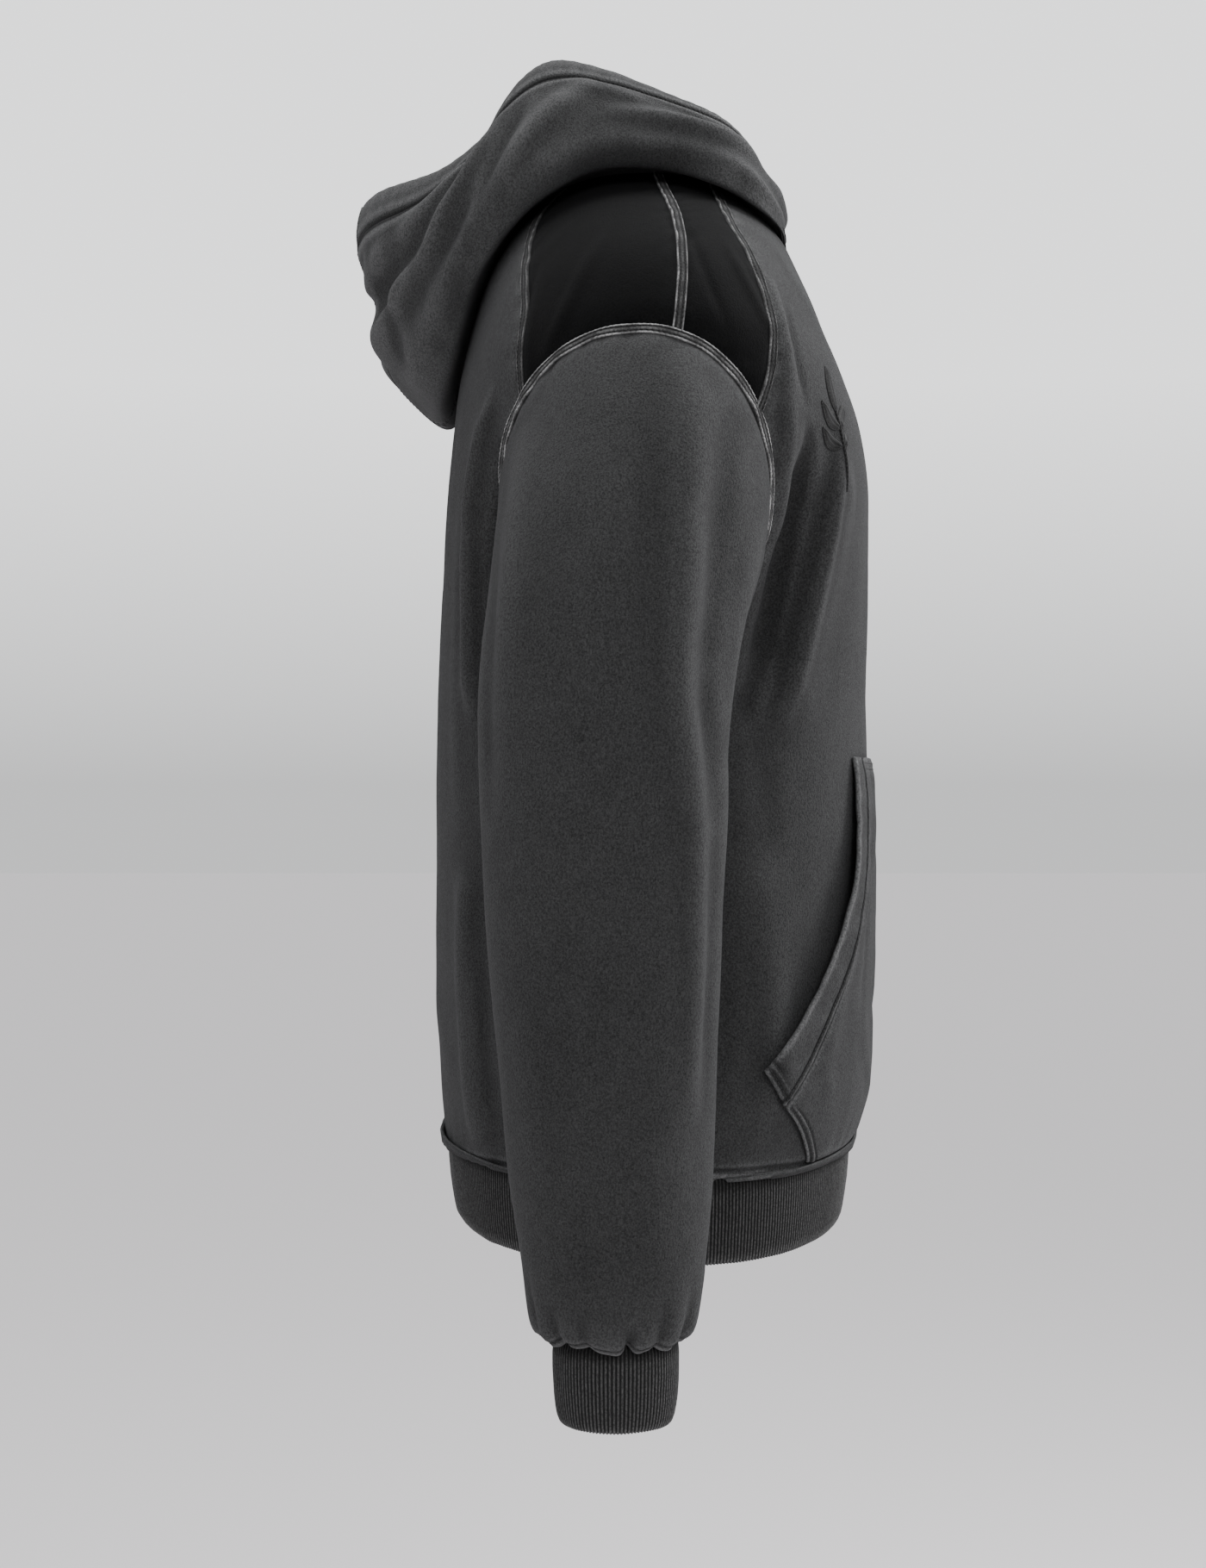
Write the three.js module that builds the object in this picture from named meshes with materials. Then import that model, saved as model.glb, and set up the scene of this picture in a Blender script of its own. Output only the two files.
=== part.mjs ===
// A pullover hoodie as it hangs on a standing figure: hood down, sleeves at the sides.
// Millimetres. +Z is up, -Y is the front, -X is the wearer's right.
// The origin is the middle of the neck at the height of the shoulder neck points.
import * as THREE from 'three';

// ---------- driving dimensions ----------
const CLOTH = 2;                 // thickness of the heavy fleece wall
const FOLDED_CLOTH = 3.6;        // thickness where the fleece is folded and stitched down
const SEAM_GAP = 0.3;            // clearance between pieces that are sewn together
const NECK_DROP_FRONT = 39;      // centre front of the neck seam below the origin
const NECK_DROP_BACK = 8;        // centre back of the neck seam below the origin
const HEM_SEAM_Z = -594;         // seam between body and hem rib at centre front and back
const HEM_SIDE_DIP = 11;         // how much lower that seam lies at the sides
const RIB_HEIGHT = 50;           // visible height of the hem rib
const HEM_RIBS = 120;            // raised ribs around the hem
const CUFF_RIBS = 36;            // raised ribs around a cuff
const RIB_DEPTH = 0.9;           // height of a raised rib
const RIB_WALL = 2.4;            // thickness of the rib knit under its ribs
const CUFF_SEAM_Z = -679;        // seam between sleeve and cuff
const CUFF_BOTTOM_Z = -726;      // lower edge of the cuff
const UNDERARM_Z = -300;         // lowest point of the armhole
const ARMHOLE_TOP_Z = -131;      // highest point of the armhole, past the shoulder
const ARMHOLE_HALF_WIDTH = 77;   // half of the armhole, front to back
const ARMHOLE_CENTRE_Y = 14;     // middle of the armhole, front to back
const ARMHOLE_POWER = 2.15;      // roundness of the armhole, 2 is an ellipse
const FRONT_INSERT_TURN = 62;    // degrees from the armhole top to the front insert's corner
const BACK_INSERT_TURN = 53;     // degrees from the armhole top to the back insert's corner
const SHOULDER_TURN = 16;        // degrees from the armhole top to the shoulder seam, to the front
const FRONT_NECK_TURN = 37;      // degrees on the neck from the side to the front insert's corner
const BACK_NECK_TURN = 47;       // degrees on the neck from the side to the back insert's corner
const SHOULDER_NECK_TURN = -2;   // degrees on the neck where the shoulder seam starts
const CAP_FLARE = 0.85;          // how far the sleeve leaves the shoulder sideways, per unit down
const SLEEVE_GATHERS = 6;        // soft pleats where the sleeve is gathered into its cuff
const GATHER_HEIGHT = 2;         // height of those pleats
const CAP_END_Z = -341;          // level below which the sleeve's sections are horizontal
const SEAM_WIDTH = 6;            // width of a raised flat seam
const SEAM_RAISE = 1.0;          // thickness of a raised flat seam
const SEAM_LIFT = 0.95;          // clearance of a raised flat seam from its panel
const HOOD_NECK_LIFT = 1;        // the hood's outer face above the body at the neck seam
const HOOD_NECK_LAP = 1.5;       // how far the hood's edge lies below the body's neck edge
const HOOD_MIDDLE_Y = 40;        // the hood's fullness leads away from here
const CUFF_CENTRE_X = -258;
const CUFF_CENTRE_Y = 24;
const CUFF_HALF_X = 36;
const CUFF_HALF_Y = 34.5;
const POCKET_CLEARANCE = 1.1;    // between the body and the pocket's inner face
const POCKET_HEM_GAP = 2;        // the pocket's lower edge above the hem seam
const POCKET_TOP_Z = -362;
const POCKET_BAND = 0.82;        // where the pocket's opening band starts, as a share of half width

// ---------- how finely each piece is divided ----------
const HALF_COLUMNS = 10;         // centre line to side
const BODY_ROWS_BELOW = 8;       // hem seam to underarm
const FRONT_ARMHOLE_STEPS = 8;   // underarm to the front insert
const BACK_ARMHOLE_STEPS = 9;    // underarm to the back insert
const FRONT_INSERT_STEPS = 5;    // front insert along the armhole
const BACK_INSERT_STEPS = 6;     // back insert along the armhole
const INSERT_COLUMNS = 6;        // neck to armhole
const CAP_ROWS = 7;
const SLEEVE_ROWS = 8;
const HOOD_COLUMNS = 18;         // centre front to centre back
const HOOD_UNDER_ROWS = 4;       // neck seam to the fold
const HOOD_WALL_ROWS = 6;        // fold to the rim hem
const RIM_ROWS = 1;              // rows of the hood wall that are the rim hem
const POCKET_ROWS = 8;
const POCKET_COLUMNS = 14;
const RING_STEPS = 48;           // points that draw a rib ring's outline
const SEAM_STEPS_BELOW = 4;      // how far the raised armhole seam runs on below the inserts

// ---------- tables ----------
// Level sections of the body's outer face; power is the roundness of the section.
const BODY_SECTIONS = [
  { z: -610, half_width: 191, front: 123, back: 129.5, power: 2.5 },
  { z: -592, half_width: 195, front: 127, back: 131.5, power: 2.5 },
  { z: -560, half_width: 198, front: 133, back: 134, power: 2.5 },
  { z: -480, half_width: 193, front: 135.5, back: 136.5, power: 2.55 },
  { z: -400, half_width: 190, front: 136, back: 136.5, power: 2.6 },
  { z: -330, half_width: 190, front: 135.5, back: 135.5, power: 2.6 },
  { z: -300, half_width: 194, front: 135.6, back: 134.5, power: 2.55 },
  { z: -260, half_width: 208, front: 135.8, back: 133, power: 2.5 },
  { z: -225, half_width: 230, front: 135.8, back: 131.5, power: 2.45 },
  { z: -190, half_width: 252, front: 135.2, back: 129, power: 2.35 },
  { z: -160, half_width: 264, front: 130.5, back: 125.5, power: 2.3 },
  { z: -131, half_width: 269, front: 120.5, back: 121.5, power: 2.25 },
  { z: -110, half_width: 262, front: 112, back: 117.5, power: 2.2 },
  { z: -84, half_width: 240, front: 102.5, back: 111, power: 2.2 },
  { z: -60, half_width: 205, front: 92.5, back: 103, power: 2.2 },
  { z: -39, half_width: 163, front: 83, back: 92.5, power: 2.2 },
  { z: -20, half_width: 118, front: 70, back: 80, power: 2.2 },
  { z: -8, half_width: 90, front: 60, back: 71, power: 2.2 },
  { z: 0, half_width: 77, front: 54, back: 64, power: 2.2 },
];

// Soft folds of the body, on both sides: a ridge or hollow from one place to another.
// turn is degrees on the section, -90 at centre front, 0 at the side, 90 at centre back.
const BODY_FOLDS = [
  { turn_a: -52, z_a: -195, turn_b: -30, z_b: -330, width: 30, height: 8 },
  { turn_a: -34, z_a: -205, turn_b: -22, z_b: -300, width: 28, height: -8 },
  { turn_a: -34, z_a: -100, turn_b: -31, z_b: -185, width: 26, height: 3 },
  { turn_a: 50, z_a: -165, turn_b: 48, z_b: -330, width: 28, height: 6 },
  { turn_a: 30, z_a: -230, turn_b: 30, z_b: -400, width: 30, height: -6 },
  { turn_a: 52, z_a: -430, turn_b: 46, z_b: -585, width: 30, height: 5 },
  { turn_a: -20, z_a: -420, turn_b: -28, z_b: -560, width: 34, height: 4 },
];

// The inserts' front and back edges, as places seen from the side, armhole first.
const FRONT_INSERT_EDGE = [
  { z: -143, y: -63 },
  { z: -110, y: -61 },
  { z: -76, y: -52 },
  { z: -50, y: -43 },
  { z: -24, y: -39 },
];
const BACK_INSERT_EDGE = [
  { z: -140, y: 78 },
  { z: -112, y: 76 },
  { z: -84, y: 76 },
  { z: -52, y: 74 },
  { z: -24, y: 66 },
];

const SHOULDER_SEAM = [
  { z: -108, y: -12 },
  { z: -80, y: -13 },
  { z: -50, y: -11 },
  { z: -22, y: -6 },
];

// Level sections of the right sleeve below the armhole.
const SLEEVE_SECTIONS = [
  { z: -679, centre_x: -258, centre_y: 24.5, half_x: 38, half_y: 36.5 },
  { z: -673, centre_x: -258, centre_y: 25, half_x: 45, half_y: 43.5 },
  { z: -660, centre_x: -258, centre_y: 25, half_x: 49, half_y: 47.5 },
  { z: -637, centre_x: -258.5, centre_y: 25.5, half_x: 51, half_y: 50.5 },
  { z: -595, centre_x: -259.5, centre_y: 26.5, half_x: 54, half_y: 55.5 },
  { z: -522, centre_x: -261, centre_y: 28.5, half_x: 58, half_y: 60 },
  { z: -459, centre_x: -262, centre_y: 30, half_x: 62, half_y: 64.4 },
  { z: -396, centre_x: -262.5, centre_y: 30.7, half_x: 65, half_y: 67.3 },
  { z: -341, centre_x: -263, centre_y: 31.7, half_x: 66, half_y: 67.8 },
];

// The hood, from centre front (0) to centre back (1). fold_turn, fold_z and fold_off put the
// lower fold on the body's section; rim is the opening's edge; bulge is the wall's fullness.
const HOOD_SECTIONS = [
  { at: 0, fold_turn: -90, fold_z: -37, fold_off: 3.5, rim_x: 0, rim_y: -88, rim_z: -25, bulge: 1 },
  { at: 0.08, fold_turn: -72, fold_z: -39, fold_off: 4.5, rim_x: -24, rim_y: -84, rim_z: -8, bulge: 5 },
  { at: 0.17, fold_turn: -50, fold_z: -42, fold_off: 6, rim_x: -55, rim_y: -70, rim_z: 12, bulge: 9 },
  { at: 0.26, fold_turn: -30, fold_z: -32, fold_off: 7, rim_x: -82, rim_y: -44, rim_z: 31, bulge: 13 },
  { at: 0.35, fold_turn: -5, fold_z: -19, fold_off: 9, rim_x: -97, rim_y: -10, rim_z: 43, bulge: 16 },
  { at: 0.44, fold_turn: 20, fold_z: -21, fold_off: 12, rim_x: -102, rim_y: 28, rim_z: 56, bulge: 18 },
  { at: 0.53, fold_turn: 40, fold_z: -38, fold_off: 10, rim_x: -101, rim_y: 62, rim_z: 62, bulge: 19 },
  { at: 0.62, fold_turn: 55, fold_z: -62, fold_off: 8, rim_x: -98, rim_y: 86, rim_z: 48, bulge: 20 },
  { at: 0.71, fold_turn: 65, fold_z: -88, fold_off: 8, rim_x: -94, rim_y: 104, rim_z: 20, bulge: 21 },
  { at: 0.8, fold_turn: 71, fold_z: -119, fold_off: 7, rim_x: -84, rim_y: 137, rim_z: -2, bulge: 22 },
  { at: 0.9, fold_turn: 78, fold_z: -146, fold_off: 6, rim_x: -52, rim_y: 172, rim_z: -6, bulge: 20 },
  { at: 1, fold_turn: 90, fold_z: -154, fold_off: 5, rim_x: 0, rim_y: 191, rim_z: -6, bulge: 17 },
];

// Half width of the pocket at each level, and how far its edge stands off the body.
const POCKET_SECTIONS = [
  { z: -592, half_width: 164, stand_off: 0 },
  { z: -560, half_width: 176, stand_off: 0 },
  { z: -536, half_width: 183, stand_off: 1 },
  { z: -508, half_width: 169, stand_off: 7 },
  { z: -478, half_width: 153, stand_off: 10 },
  { z: -455, half_width: 136, stand_off: 10 },
  { z: -424, half_width: 121, stand_off: 8 },
  { z: -386, half_width: 109, stand_off: 3 },
  { z: POCKET_TOP_Z, half_width: 104, stand_off: 0 },
];

// ---------- small helpers ----------
const radians = THREE.MathUtils.degToRad;
const degrees = THREE.MathUtils.radToDeg;
const mix = THREE.MathUtils.lerp;

function signedPower(value, power) {
  return Math.sign(value) * Math.abs(value) ** power;
}

// Smooth reading of one column of a table that is sorted by its key.
function read(table, key, value, column) {
  let row = 0;
  while (row < table.length - 2 && value > table[row + 1][key]) {
    row += 1;
  }
  const before = table[Math.max(row - 1, 0)];
  const start = table[row];
  const end = table[row + 1];
  const after = table[Math.min(row + 2, table.length - 1)];
  const span = end[key] - start[key];
  const t = THREE.MathUtils.clamp((value - start[key]) / span, 0, 1);
  const slopeStart = (end[column] - before[column]) / (end[key] - before[key]);
  const slopeEnd = (after[column] - start[column]) / (after[key] - start[key]);
  const t2 = t * t;
  const t3 = t2 * t;
  return (2 * t3 - 3 * t2 + 1) * start[column] + (t3 - 2 * t2 + t) * slopeStart * span
    + (3 * t2 - 2 * t3) * end[column] + (t3 - t2) * slopeEnd * span;
}

// Evenly spaced shares from 0 to 1.
function shares(steps) {
  return Array.from({ length: steps + 1 }, (_, step) => step / steps);
}

// ---------- the body's outer face: a place is a turn in degrees and a level ----------
function foldHeight(turn, z, halfWidth) {
  let height = 0;
  for (const fold of BODY_FOLDS) {
    const across = radians(turn - fold.turn_a) * halfWidth;
    const along = z - fold.z_a;
    const runAcross = radians(fold.turn_b - fold.turn_a) * halfWidth;
    const runAlong = fold.z_b - fold.z_a;
    const length2 = runAcross ** 2 + runAlong ** 2;
    const share = (across * runAcross + along * runAlong) / length2;
    const near = THREE.MathUtils.clamp(share, 0.1, 0.9);
    const distance = Math.hypot(across - near * runAcross, along - near * runAlong);
    const beyond = Math.exp(-((distance / fold.width) ** 2) * 2);
    height += fold.height * beyond;
  }
  return height;
}

function bodyPoint(turn, z) {
  const power = read(BODY_SECTIONS, 'z', z, 'power');
  const halfWidth = read(BODY_SECTIONS, 'z', z, 'half_width');
  const depth = read(BODY_SECTIONS, 'z', z, turn < 0 ? 'front' : 'back');
  const angle = radians(turn);
  const outward = foldHeight(turn, z, halfWidth);
  const x = -(halfWidth + outward * Math.cos(angle)) * signedPower(Math.cos(angle), 2 / power);
  const y = (depth + outward * Math.abs(Math.sin(angle))) * signedPower(Math.sin(angle), 2 / power);
  return new THREE.Vector3(Math.abs(turn) === 90 ? 0 : x, y, z);
}

// The place on the body at a level where its face has the given y.
function placeAt(y, z) {
  const power = read(BODY_SECTIONS, 'z', z, 'power');
  const depth = read(BODY_SECTIONS, 'z', z, y < 0 ? 'front' : 'back');
  const sine = signedPower(Math.min(Math.abs(y) / depth, 1), power / 2) * Math.sign(y);
  return { turn: degrees(Math.asin(sine)), z };
}

// The place on the body at a level where its face has the given distance from the middle.
function placeAtHalfWidth(halfWidth, z) {
  const power = read(BODY_SECTIONS, 'z', z, 'power');
  const full = read(BODY_SECTIONS, 'z', z, 'half_width');
  return { turn: -degrees(Math.acos((halfWidth / full) ** (power / 2))), z };
}

function bodyNormal(turn, z) {
  const step = 1;
  const levelStep = 2;
  const before = bodyPoint(Math.max(turn - step, -90), z);
  const after = bodyPoint(Math.min(turn + step, 90), z);
  const below = bodyPoint(turn, z - levelStep);
  const above = bodyPoint(turn, z + levelStep);
  const normal = above.sub(below).cross(after.sub(before));
  if (Math.abs(turn) === 90) {
    normal.x = 0;
  }
  return normal.normalize();
}

function neckPlace(turn) {
  const share = Math.abs(Math.sin(radians(turn)));
  const z = turn < 0 ? -NECK_DROP_FRONT * share ** 4.5 : -NECK_DROP_BACK * share ** 3;
  return { turn, z };
}

function hemPlace(turn) {
  return { turn, z: HEM_SEAM_Z - HEM_SIDE_DIP * Math.cos(radians(turn)) ** 2 };
}

// Armhole, by degrees from its top: positive to the front, negative to the back.
function armholePlace(turn) {
  const middle = (ARMHOLE_TOP_Z + UNDERARM_Z) / 2;
  const halfHeight = (ARMHOLE_TOP_Z - UNDERARM_Z) / 2;
  const across = signedPower(Math.sin(radians(turn)), 2 / ARMHOLE_POWER);
  const up = signedPower(Math.cos(radians(turn)), 2 / ARMHOLE_POWER);
  return placeAt(ARMHOLE_CENTRE_Y - ARMHOLE_HALF_WIDTH * across, middle + halfHeight * up);
}

// Even steps along a smooth line through places.
function route(places, steps) {
  const points = places.map((place) => new THREE.Vector3(place.turn, place.z, 0));
  const line = new THREE.CatmullRomCurve3(points, false, 'centripetal');
  return shares(steps).map((share) => {
    const point = line.getPointAt(share);
    return { turn: point.x, z: point.y };
  });
}

function armholeRun(from, to, steps) {
  return shares(steps).map((share) => armholePlace(mix(from, to, share)));
}

// ---------- patches: places blended from four edges ----------
// bottom and top run from the left edge to the right one; left and right run upward.
function patch({ bottom, top, left, right }) {
  const columns = bottom.length - 1;
  const rows = left.length - 1;
  const blend = (key, row, column) => {
    const u = column / columns;
    const v = row / rows;
    const sides = mix(left[row][key], right[row][key], u);
    const ends = mix(bottom[column][key], top[column][key], v);
    const lowCorners = mix(bottom[0][key], bottom[columns][key], u);
    const highCorners = mix(top[0][key], top[columns][key], u);
    return sides + ends - mix(lowCorners, highCorners, v);
  };
  return left.map((_, row) => bottom.map((__, column) => (
    { turn: blend('turn', row, column), z: blend('z', row, column) })));
}

// ---------- walls ----------
// A sheet is rows of { point, normal }. Its edges are drawn in by half of the seam gap.
function bodySheet(places) {
  return places.map((row) => row.map(({ turn, z }) => (
    { point: bodyPoint(turn, z), normal: bodyNormal(turn, z) })));
}

function drawnIn(from, towards, distance) {
  const step = towards.point.clone().sub(from.point).setLength(distance);
  return { point: from.point.clone().add(step), normal: from.normal };
}

function insetEdges(sheet, { sides = true, ends = true } = {}) {
  const half = SEAM_GAP / 2;
  let result = sheet;
  if (sides) {
    result = result.map((row) => {
      const last = row.length - 1;
      return [drawnIn(row[0], row[1], half), ...row.slice(1, last), drawnIn(row[last], row[last - 1], half)];
    });
  }
  if (ends) {
    const last = result.length - 1;
    const lowest = result[0].map((item, column) => drawnIn(item, result[1][column], half));
    const highest = result[last].map((item, column) => drawnIn(item, result[last - 1][column], half));
    result = [lowest, ...result.slice(1, last), highest];
  }
  return result;
}

// Normals of a sheet that has none, from its own points.
function withNormals(points, closed) {
  const last = points.length - 1;
  return points.map((row, r) => row.map((point, c) => {
    const wide = row.length;
    const left = closed ? row[(c - 1 + wide) % wide] : row[Math.max(c - 1, 0)];
    const right = closed ? row[(c + 1) % wide] : row[Math.min(c + 1, wide - 1)];
    const below = points[Math.max(r - 1, 0)][c];
    const above = points[Math.min(r + 1, last)][c];
    const normal = right.clone().sub(left).cross(above.clone().sub(below)).normalize();
    return { point, normal };
  }));
}

// True where the sheet's columns and rows turn the same way as its normals.
function facesOut(sheet) {
  const r = Math.floor((sheet.length - 1) / 2);
  const c = Math.floor((sheet[0].length - 1) / 2);
  const here = sheet[r][c];
  const across = sheet[r][c + 1].point.clone().sub(here.point);
  const along = sheet[r + 1][c].point.clone().sub(here.point);
  return across.cross(along).dot(here.normal) > 0;
}

// A closed wall: the sheet, the same sheet moved in by the thickness, and the edges between.
function wallGeometry(plainSheet, thickness, closed = false) {
  const sheet = facesOut(plainSheet) ? plainSheet : [...plainSheet].reverse();
  const rows = sheet.length;
  const columns = sheet[0].length;
  const positions = [];
  const faces = [];
  for (const depth of [0, thickness]) {
    for (const row of sheet) {
      for (const { point, normal, extra = 0 } of row) {
        const inward = depth === 0 ? 0 : depth + extra;
        positions.push(...point.clone().addScaledVector(normal, -inward).toArray());
      }
    }
  }
  const outer = (r, c) => r * columns + (c % columns);
  const inner = (r, c) => rows * columns + outer(r, c);
  const quad = (a, b, c, d) => faces.push(a, b, c, a, c, d);
  const spans = closed ? columns : columns - 1;
  const at = (r, c) => sheet[r][c % columns].point;
  for (let r = 0; r < rows - 1; r += 1) {
    for (let c = 0; c < spans; c += 1) {
      const rising = at(r, c).distanceTo(at(r + 1, c + 1));
      const falling = at(r, c + 1).distanceTo(at(r + 1, c));
      if (rising <= falling) {
        quad(outer(r, c), outer(r, c + 1), outer(r + 1, c + 1), outer(r + 1, c));
        quad(inner(r + 1, c + 1), inner(r, c + 1), inner(r, c), inner(r + 1, c));
      } else {
        quad(outer(r, c + 1), outer(r + 1, c + 1), outer(r + 1, c), outer(r, c));
        quad(inner(r, c + 1), inner(r, c), inner(r + 1, c), inner(r + 1, c + 1));
      }
    }
  }
  for (let c = 0; c < spans; c += 1) {
    quad(outer(0, c), inner(0, c), inner(0, c + 1), outer(0, c + 1));
    quad(outer(rows - 1, c), outer(rows - 1, c + 1), inner(rows - 1, c + 1), inner(rows - 1, c));
  }
  if (!closed) {
    const end = columns - 1;
    for (let r = 0; r < rows - 1; r += 1) {
      quad(outer(r, 0), outer(r + 1, 0), inner(r + 1, 0), inner(r, 0));
      quad(outer(r, end), inner(r, end), inner(r + 1, end), outer(r + 1, end));
    }
  }
  const geometry = new THREE.BufferGeometry();
  geometry.setAttribute('position', new THREE.Float32BufferAttribute(positions, 3));
  geometry.setIndex(faces);
  geometry.computeVertexNormals();
  return geometry;
}

// The same sheet on the wearer's left.
function mirrored(sheet) {
  const flip = (vector) => new THREE.Vector3(-vector.x, vector.y, vector.z);
  return sheet.map((row) => row.map((item) => (
    { ...item, point: flip(item.point), normal: flip(item.normal) })));
}

// A sheet that covers both sides, from its right half whose first column is the centre line.
function bothSides(half) {
  const left = mirrored(half);
  return half.map((row, r) => [...left[r].slice(1).reverse(), ...row]);
}

// ---------- materials ----------
const fleece = new THREE.MeshStandardMaterial({ color: 0x3e3e3f, roughness: 0.95, metalness: 0 });
const darkCloth = new THREE.MeshStandardMaterial({ color: 0x212124, roughness: 0.85, metalness: 0 });
const ribKnit = new THREE.MeshStandardMaterial({ color: 0x2f2e30, roughness: 0.92, metalness: 0 });
const seamCloth = new THREE.MeshStandardMaterial({ color: 0x4b4b4c, roughness: 0.9, metalness: 0 });

const hoodie = new THREE.Group();

function add(name, sheet, thickness, material, closed = false) {
  const mesh = new THREE.Mesh(wallGeometry(sheet, thickness, closed), material.clone());
  mesh.name = name;
  hoodie.add(mesh);
}

function addPair(name, sheet, thickness, material, closed = false) {
  add(`${name}_right`, sheet, thickness, material, closed);
  add(`${name}_left`, mirrored(sheet), thickness, material, closed);
}

// ---------- edges that neighbouring pieces share ----------
const frontCorner = armholePlace(FRONT_INSERT_TURN);
const backCorner = armholePlace(-BACK_INSERT_TURN);
const shoulderTip = armholePlace(SHOULDER_TURN);
const frontNeckCorner = neckPlace(-FRONT_NECK_TURN);
const backNeckCorner = neckPlace(BACK_NECK_TURN);
const sidePlaces = FRONT_INSERT_EDGE.map(({ y, z }) => placeAt(y, z));
const backPlaces = BACK_INSERT_EDGE.map(({ y, z }) => placeAt(y, z));
const seamPlaces = SHOULDER_SEAM.map(({ y, z }) => placeAt(y, z));
const frontInsertEdge = route([frontCorner, ...sidePlaces, frontNeckCorner], INSERT_COLUMNS);
const backInsertEdge = route([backCorner, ...backPlaces, backNeckCorner], INSERT_COLUMNS);
const shoulderSeam = route([shoulderTip, ...seamPlaces, neckPlace(SHOULDER_NECK_TURN)], INSERT_COLUMNS);

function sideSeam() {
  const foot = hemPlace(0).z;
  return shares(BODY_ROWS_BELOW).map((share) => ({ turn: 0, z: mix(foot, UNDERARM_Z, share) }));
}

// ---------- front and back body ----------
function bodyHalf(centreTurn, armhole, insertEdge, neckTurn) {
  const underarm = armhole[0].turn;
  const side = sideSeam().map(({ z }) => {
    const share = THREE.MathUtils.smoothstep(z, UNDERARM_Z - 60, UNDERARM_Z);
    return { turn: underarm * share, z };
  });
  const right = [...side, ...armhole.slice(1), ...insertEdge.slice(1)];
  const top = shares(HALF_COLUMNS).map((share) => neckPlace(mix(centreTurn, neckTurn, share)));
  const bottom = shares(HALF_COLUMNS).map((share) => hemPlace(mix(centreTurn, 0, share)));
  const centreHigh = neckPlace(centreTurn).z;
  const levels = right.map(({ z }, row) => {
    const share = row / (right.length - 1);
    return mix(z, mix(HEM_SEAM_Z, centreHigh, share), 0.25);
  });
  levels[0] = HEM_SEAM_Z;
  levels[levels.length - 1] = centreHigh;
  const left = levels.map((z) => ({ turn: centreTurn, z }));
  return patch({ bottom, top, left, right });
}

const frontArmhole = armholeRun(180, FRONT_INSERT_TURN, FRONT_ARMHOLE_STEPS);
const backArmhole = armholeRun(-180, -BACK_INSERT_TURN, BACK_ARMHOLE_STEPS);
const frontHalf = bodySheet(bodyHalf(-90, frontArmhole, frontInsertEdge, -FRONT_NECK_TURN));
const backHalf = bodySheet(bodyHalf(90, backArmhole, backInsertEdge, BACK_NECK_TURN));

add('front_body', insetEdges(bothSides(frontHalf)), CLOTH, fleece);
add('back_body', insetEdges(bothSides(backHalf)), CLOTH, fleece);

// ---------- shoulder inserts ----------
function insert(insertEdge, armhole, neckFrom, neckTo) {
  const neck = shares(armhole.length - 1).map((share) => neckPlace(mix(neckFrom, neckTo, share)));
  return bodySheet(patch({ bottom: insertEdge, top: shoulderSeam, left: armhole, right: neck }));
}

const frontInsertArmhole = armholeRun(FRONT_INSERT_TURN, SHOULDER_TURN, FRONT_INSERT_STEPS);
const backInsertArmhole = armholeRun(-BACK_INSERT_TURN, SHOULDER_TURN, BACK_INSERT_STEPS);
const frontInsert = insert(frontInsertEdge, frontInsertArmhole, -FRONT_NECK_TURN, SHOULDER_NECK_TURN);
const backInsert = insert(backInsertEdge, backInsertArmhole, BACK_NECK_TURN, SHOULDER_NECK_TURN);
addPair('front_insert', insetEdges(frontInsert), CLOTH, darkCloth);
addPair('back_insert', insetEdges(backInsert), CLOTH, darkCloth);

// ---------- sleeves ----------
function sleeveSection(turn, z) {
  const angle = radians(turn);
  const column = (name) => read(SLEEVE_SECTIONS, 'z', z, name);
  const gather = GATHER_HEIGHT * Math.cos(angle * SLEEVE_GATHERS) * THREE.MathUtils.smoothstep(-z, 600, 665);
  const x = column('centre_x') - (column('half_x') + gather) * Math.cos(angle);
  const y = column('centre_y') - (column('half_y') + gather) * Math.sin(angle);
  return new THREE.Vector3(x, y, z);
}

// From the armhole down to the first level section, leaving the shoulder along its own slope.
function capPoint(turn, share) {
  const { turn: bodyTurn, z } = armholePlace(turn);
  const start = bodyPoint(bodyTurn, z);
  const end = sleeveSection(turn, CAP_END_Z);
  const reach = start.distanceTo(end);
  const top = 0.5 + 0.5 * Math.cos(radians(turn));
  const leave = new THREE.Vector3(-CAP_FLARE * top, 0, -1).setLength(reach);
  const arrive = new THREE.Vector3(0, 0, -reach);
  const s2 = share * share;
  const s3 = s2 * share;
  return start.multiplyScalar(2 * s3 - 3 * s2 + 1)
    .addScaledVector(leave, s3 - 2 * s2 + share)
    .addScaledVector(end, 3 * s2 - 2 * s3)
    .addScaledVector(arrive, s3 - s2);
}

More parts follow.
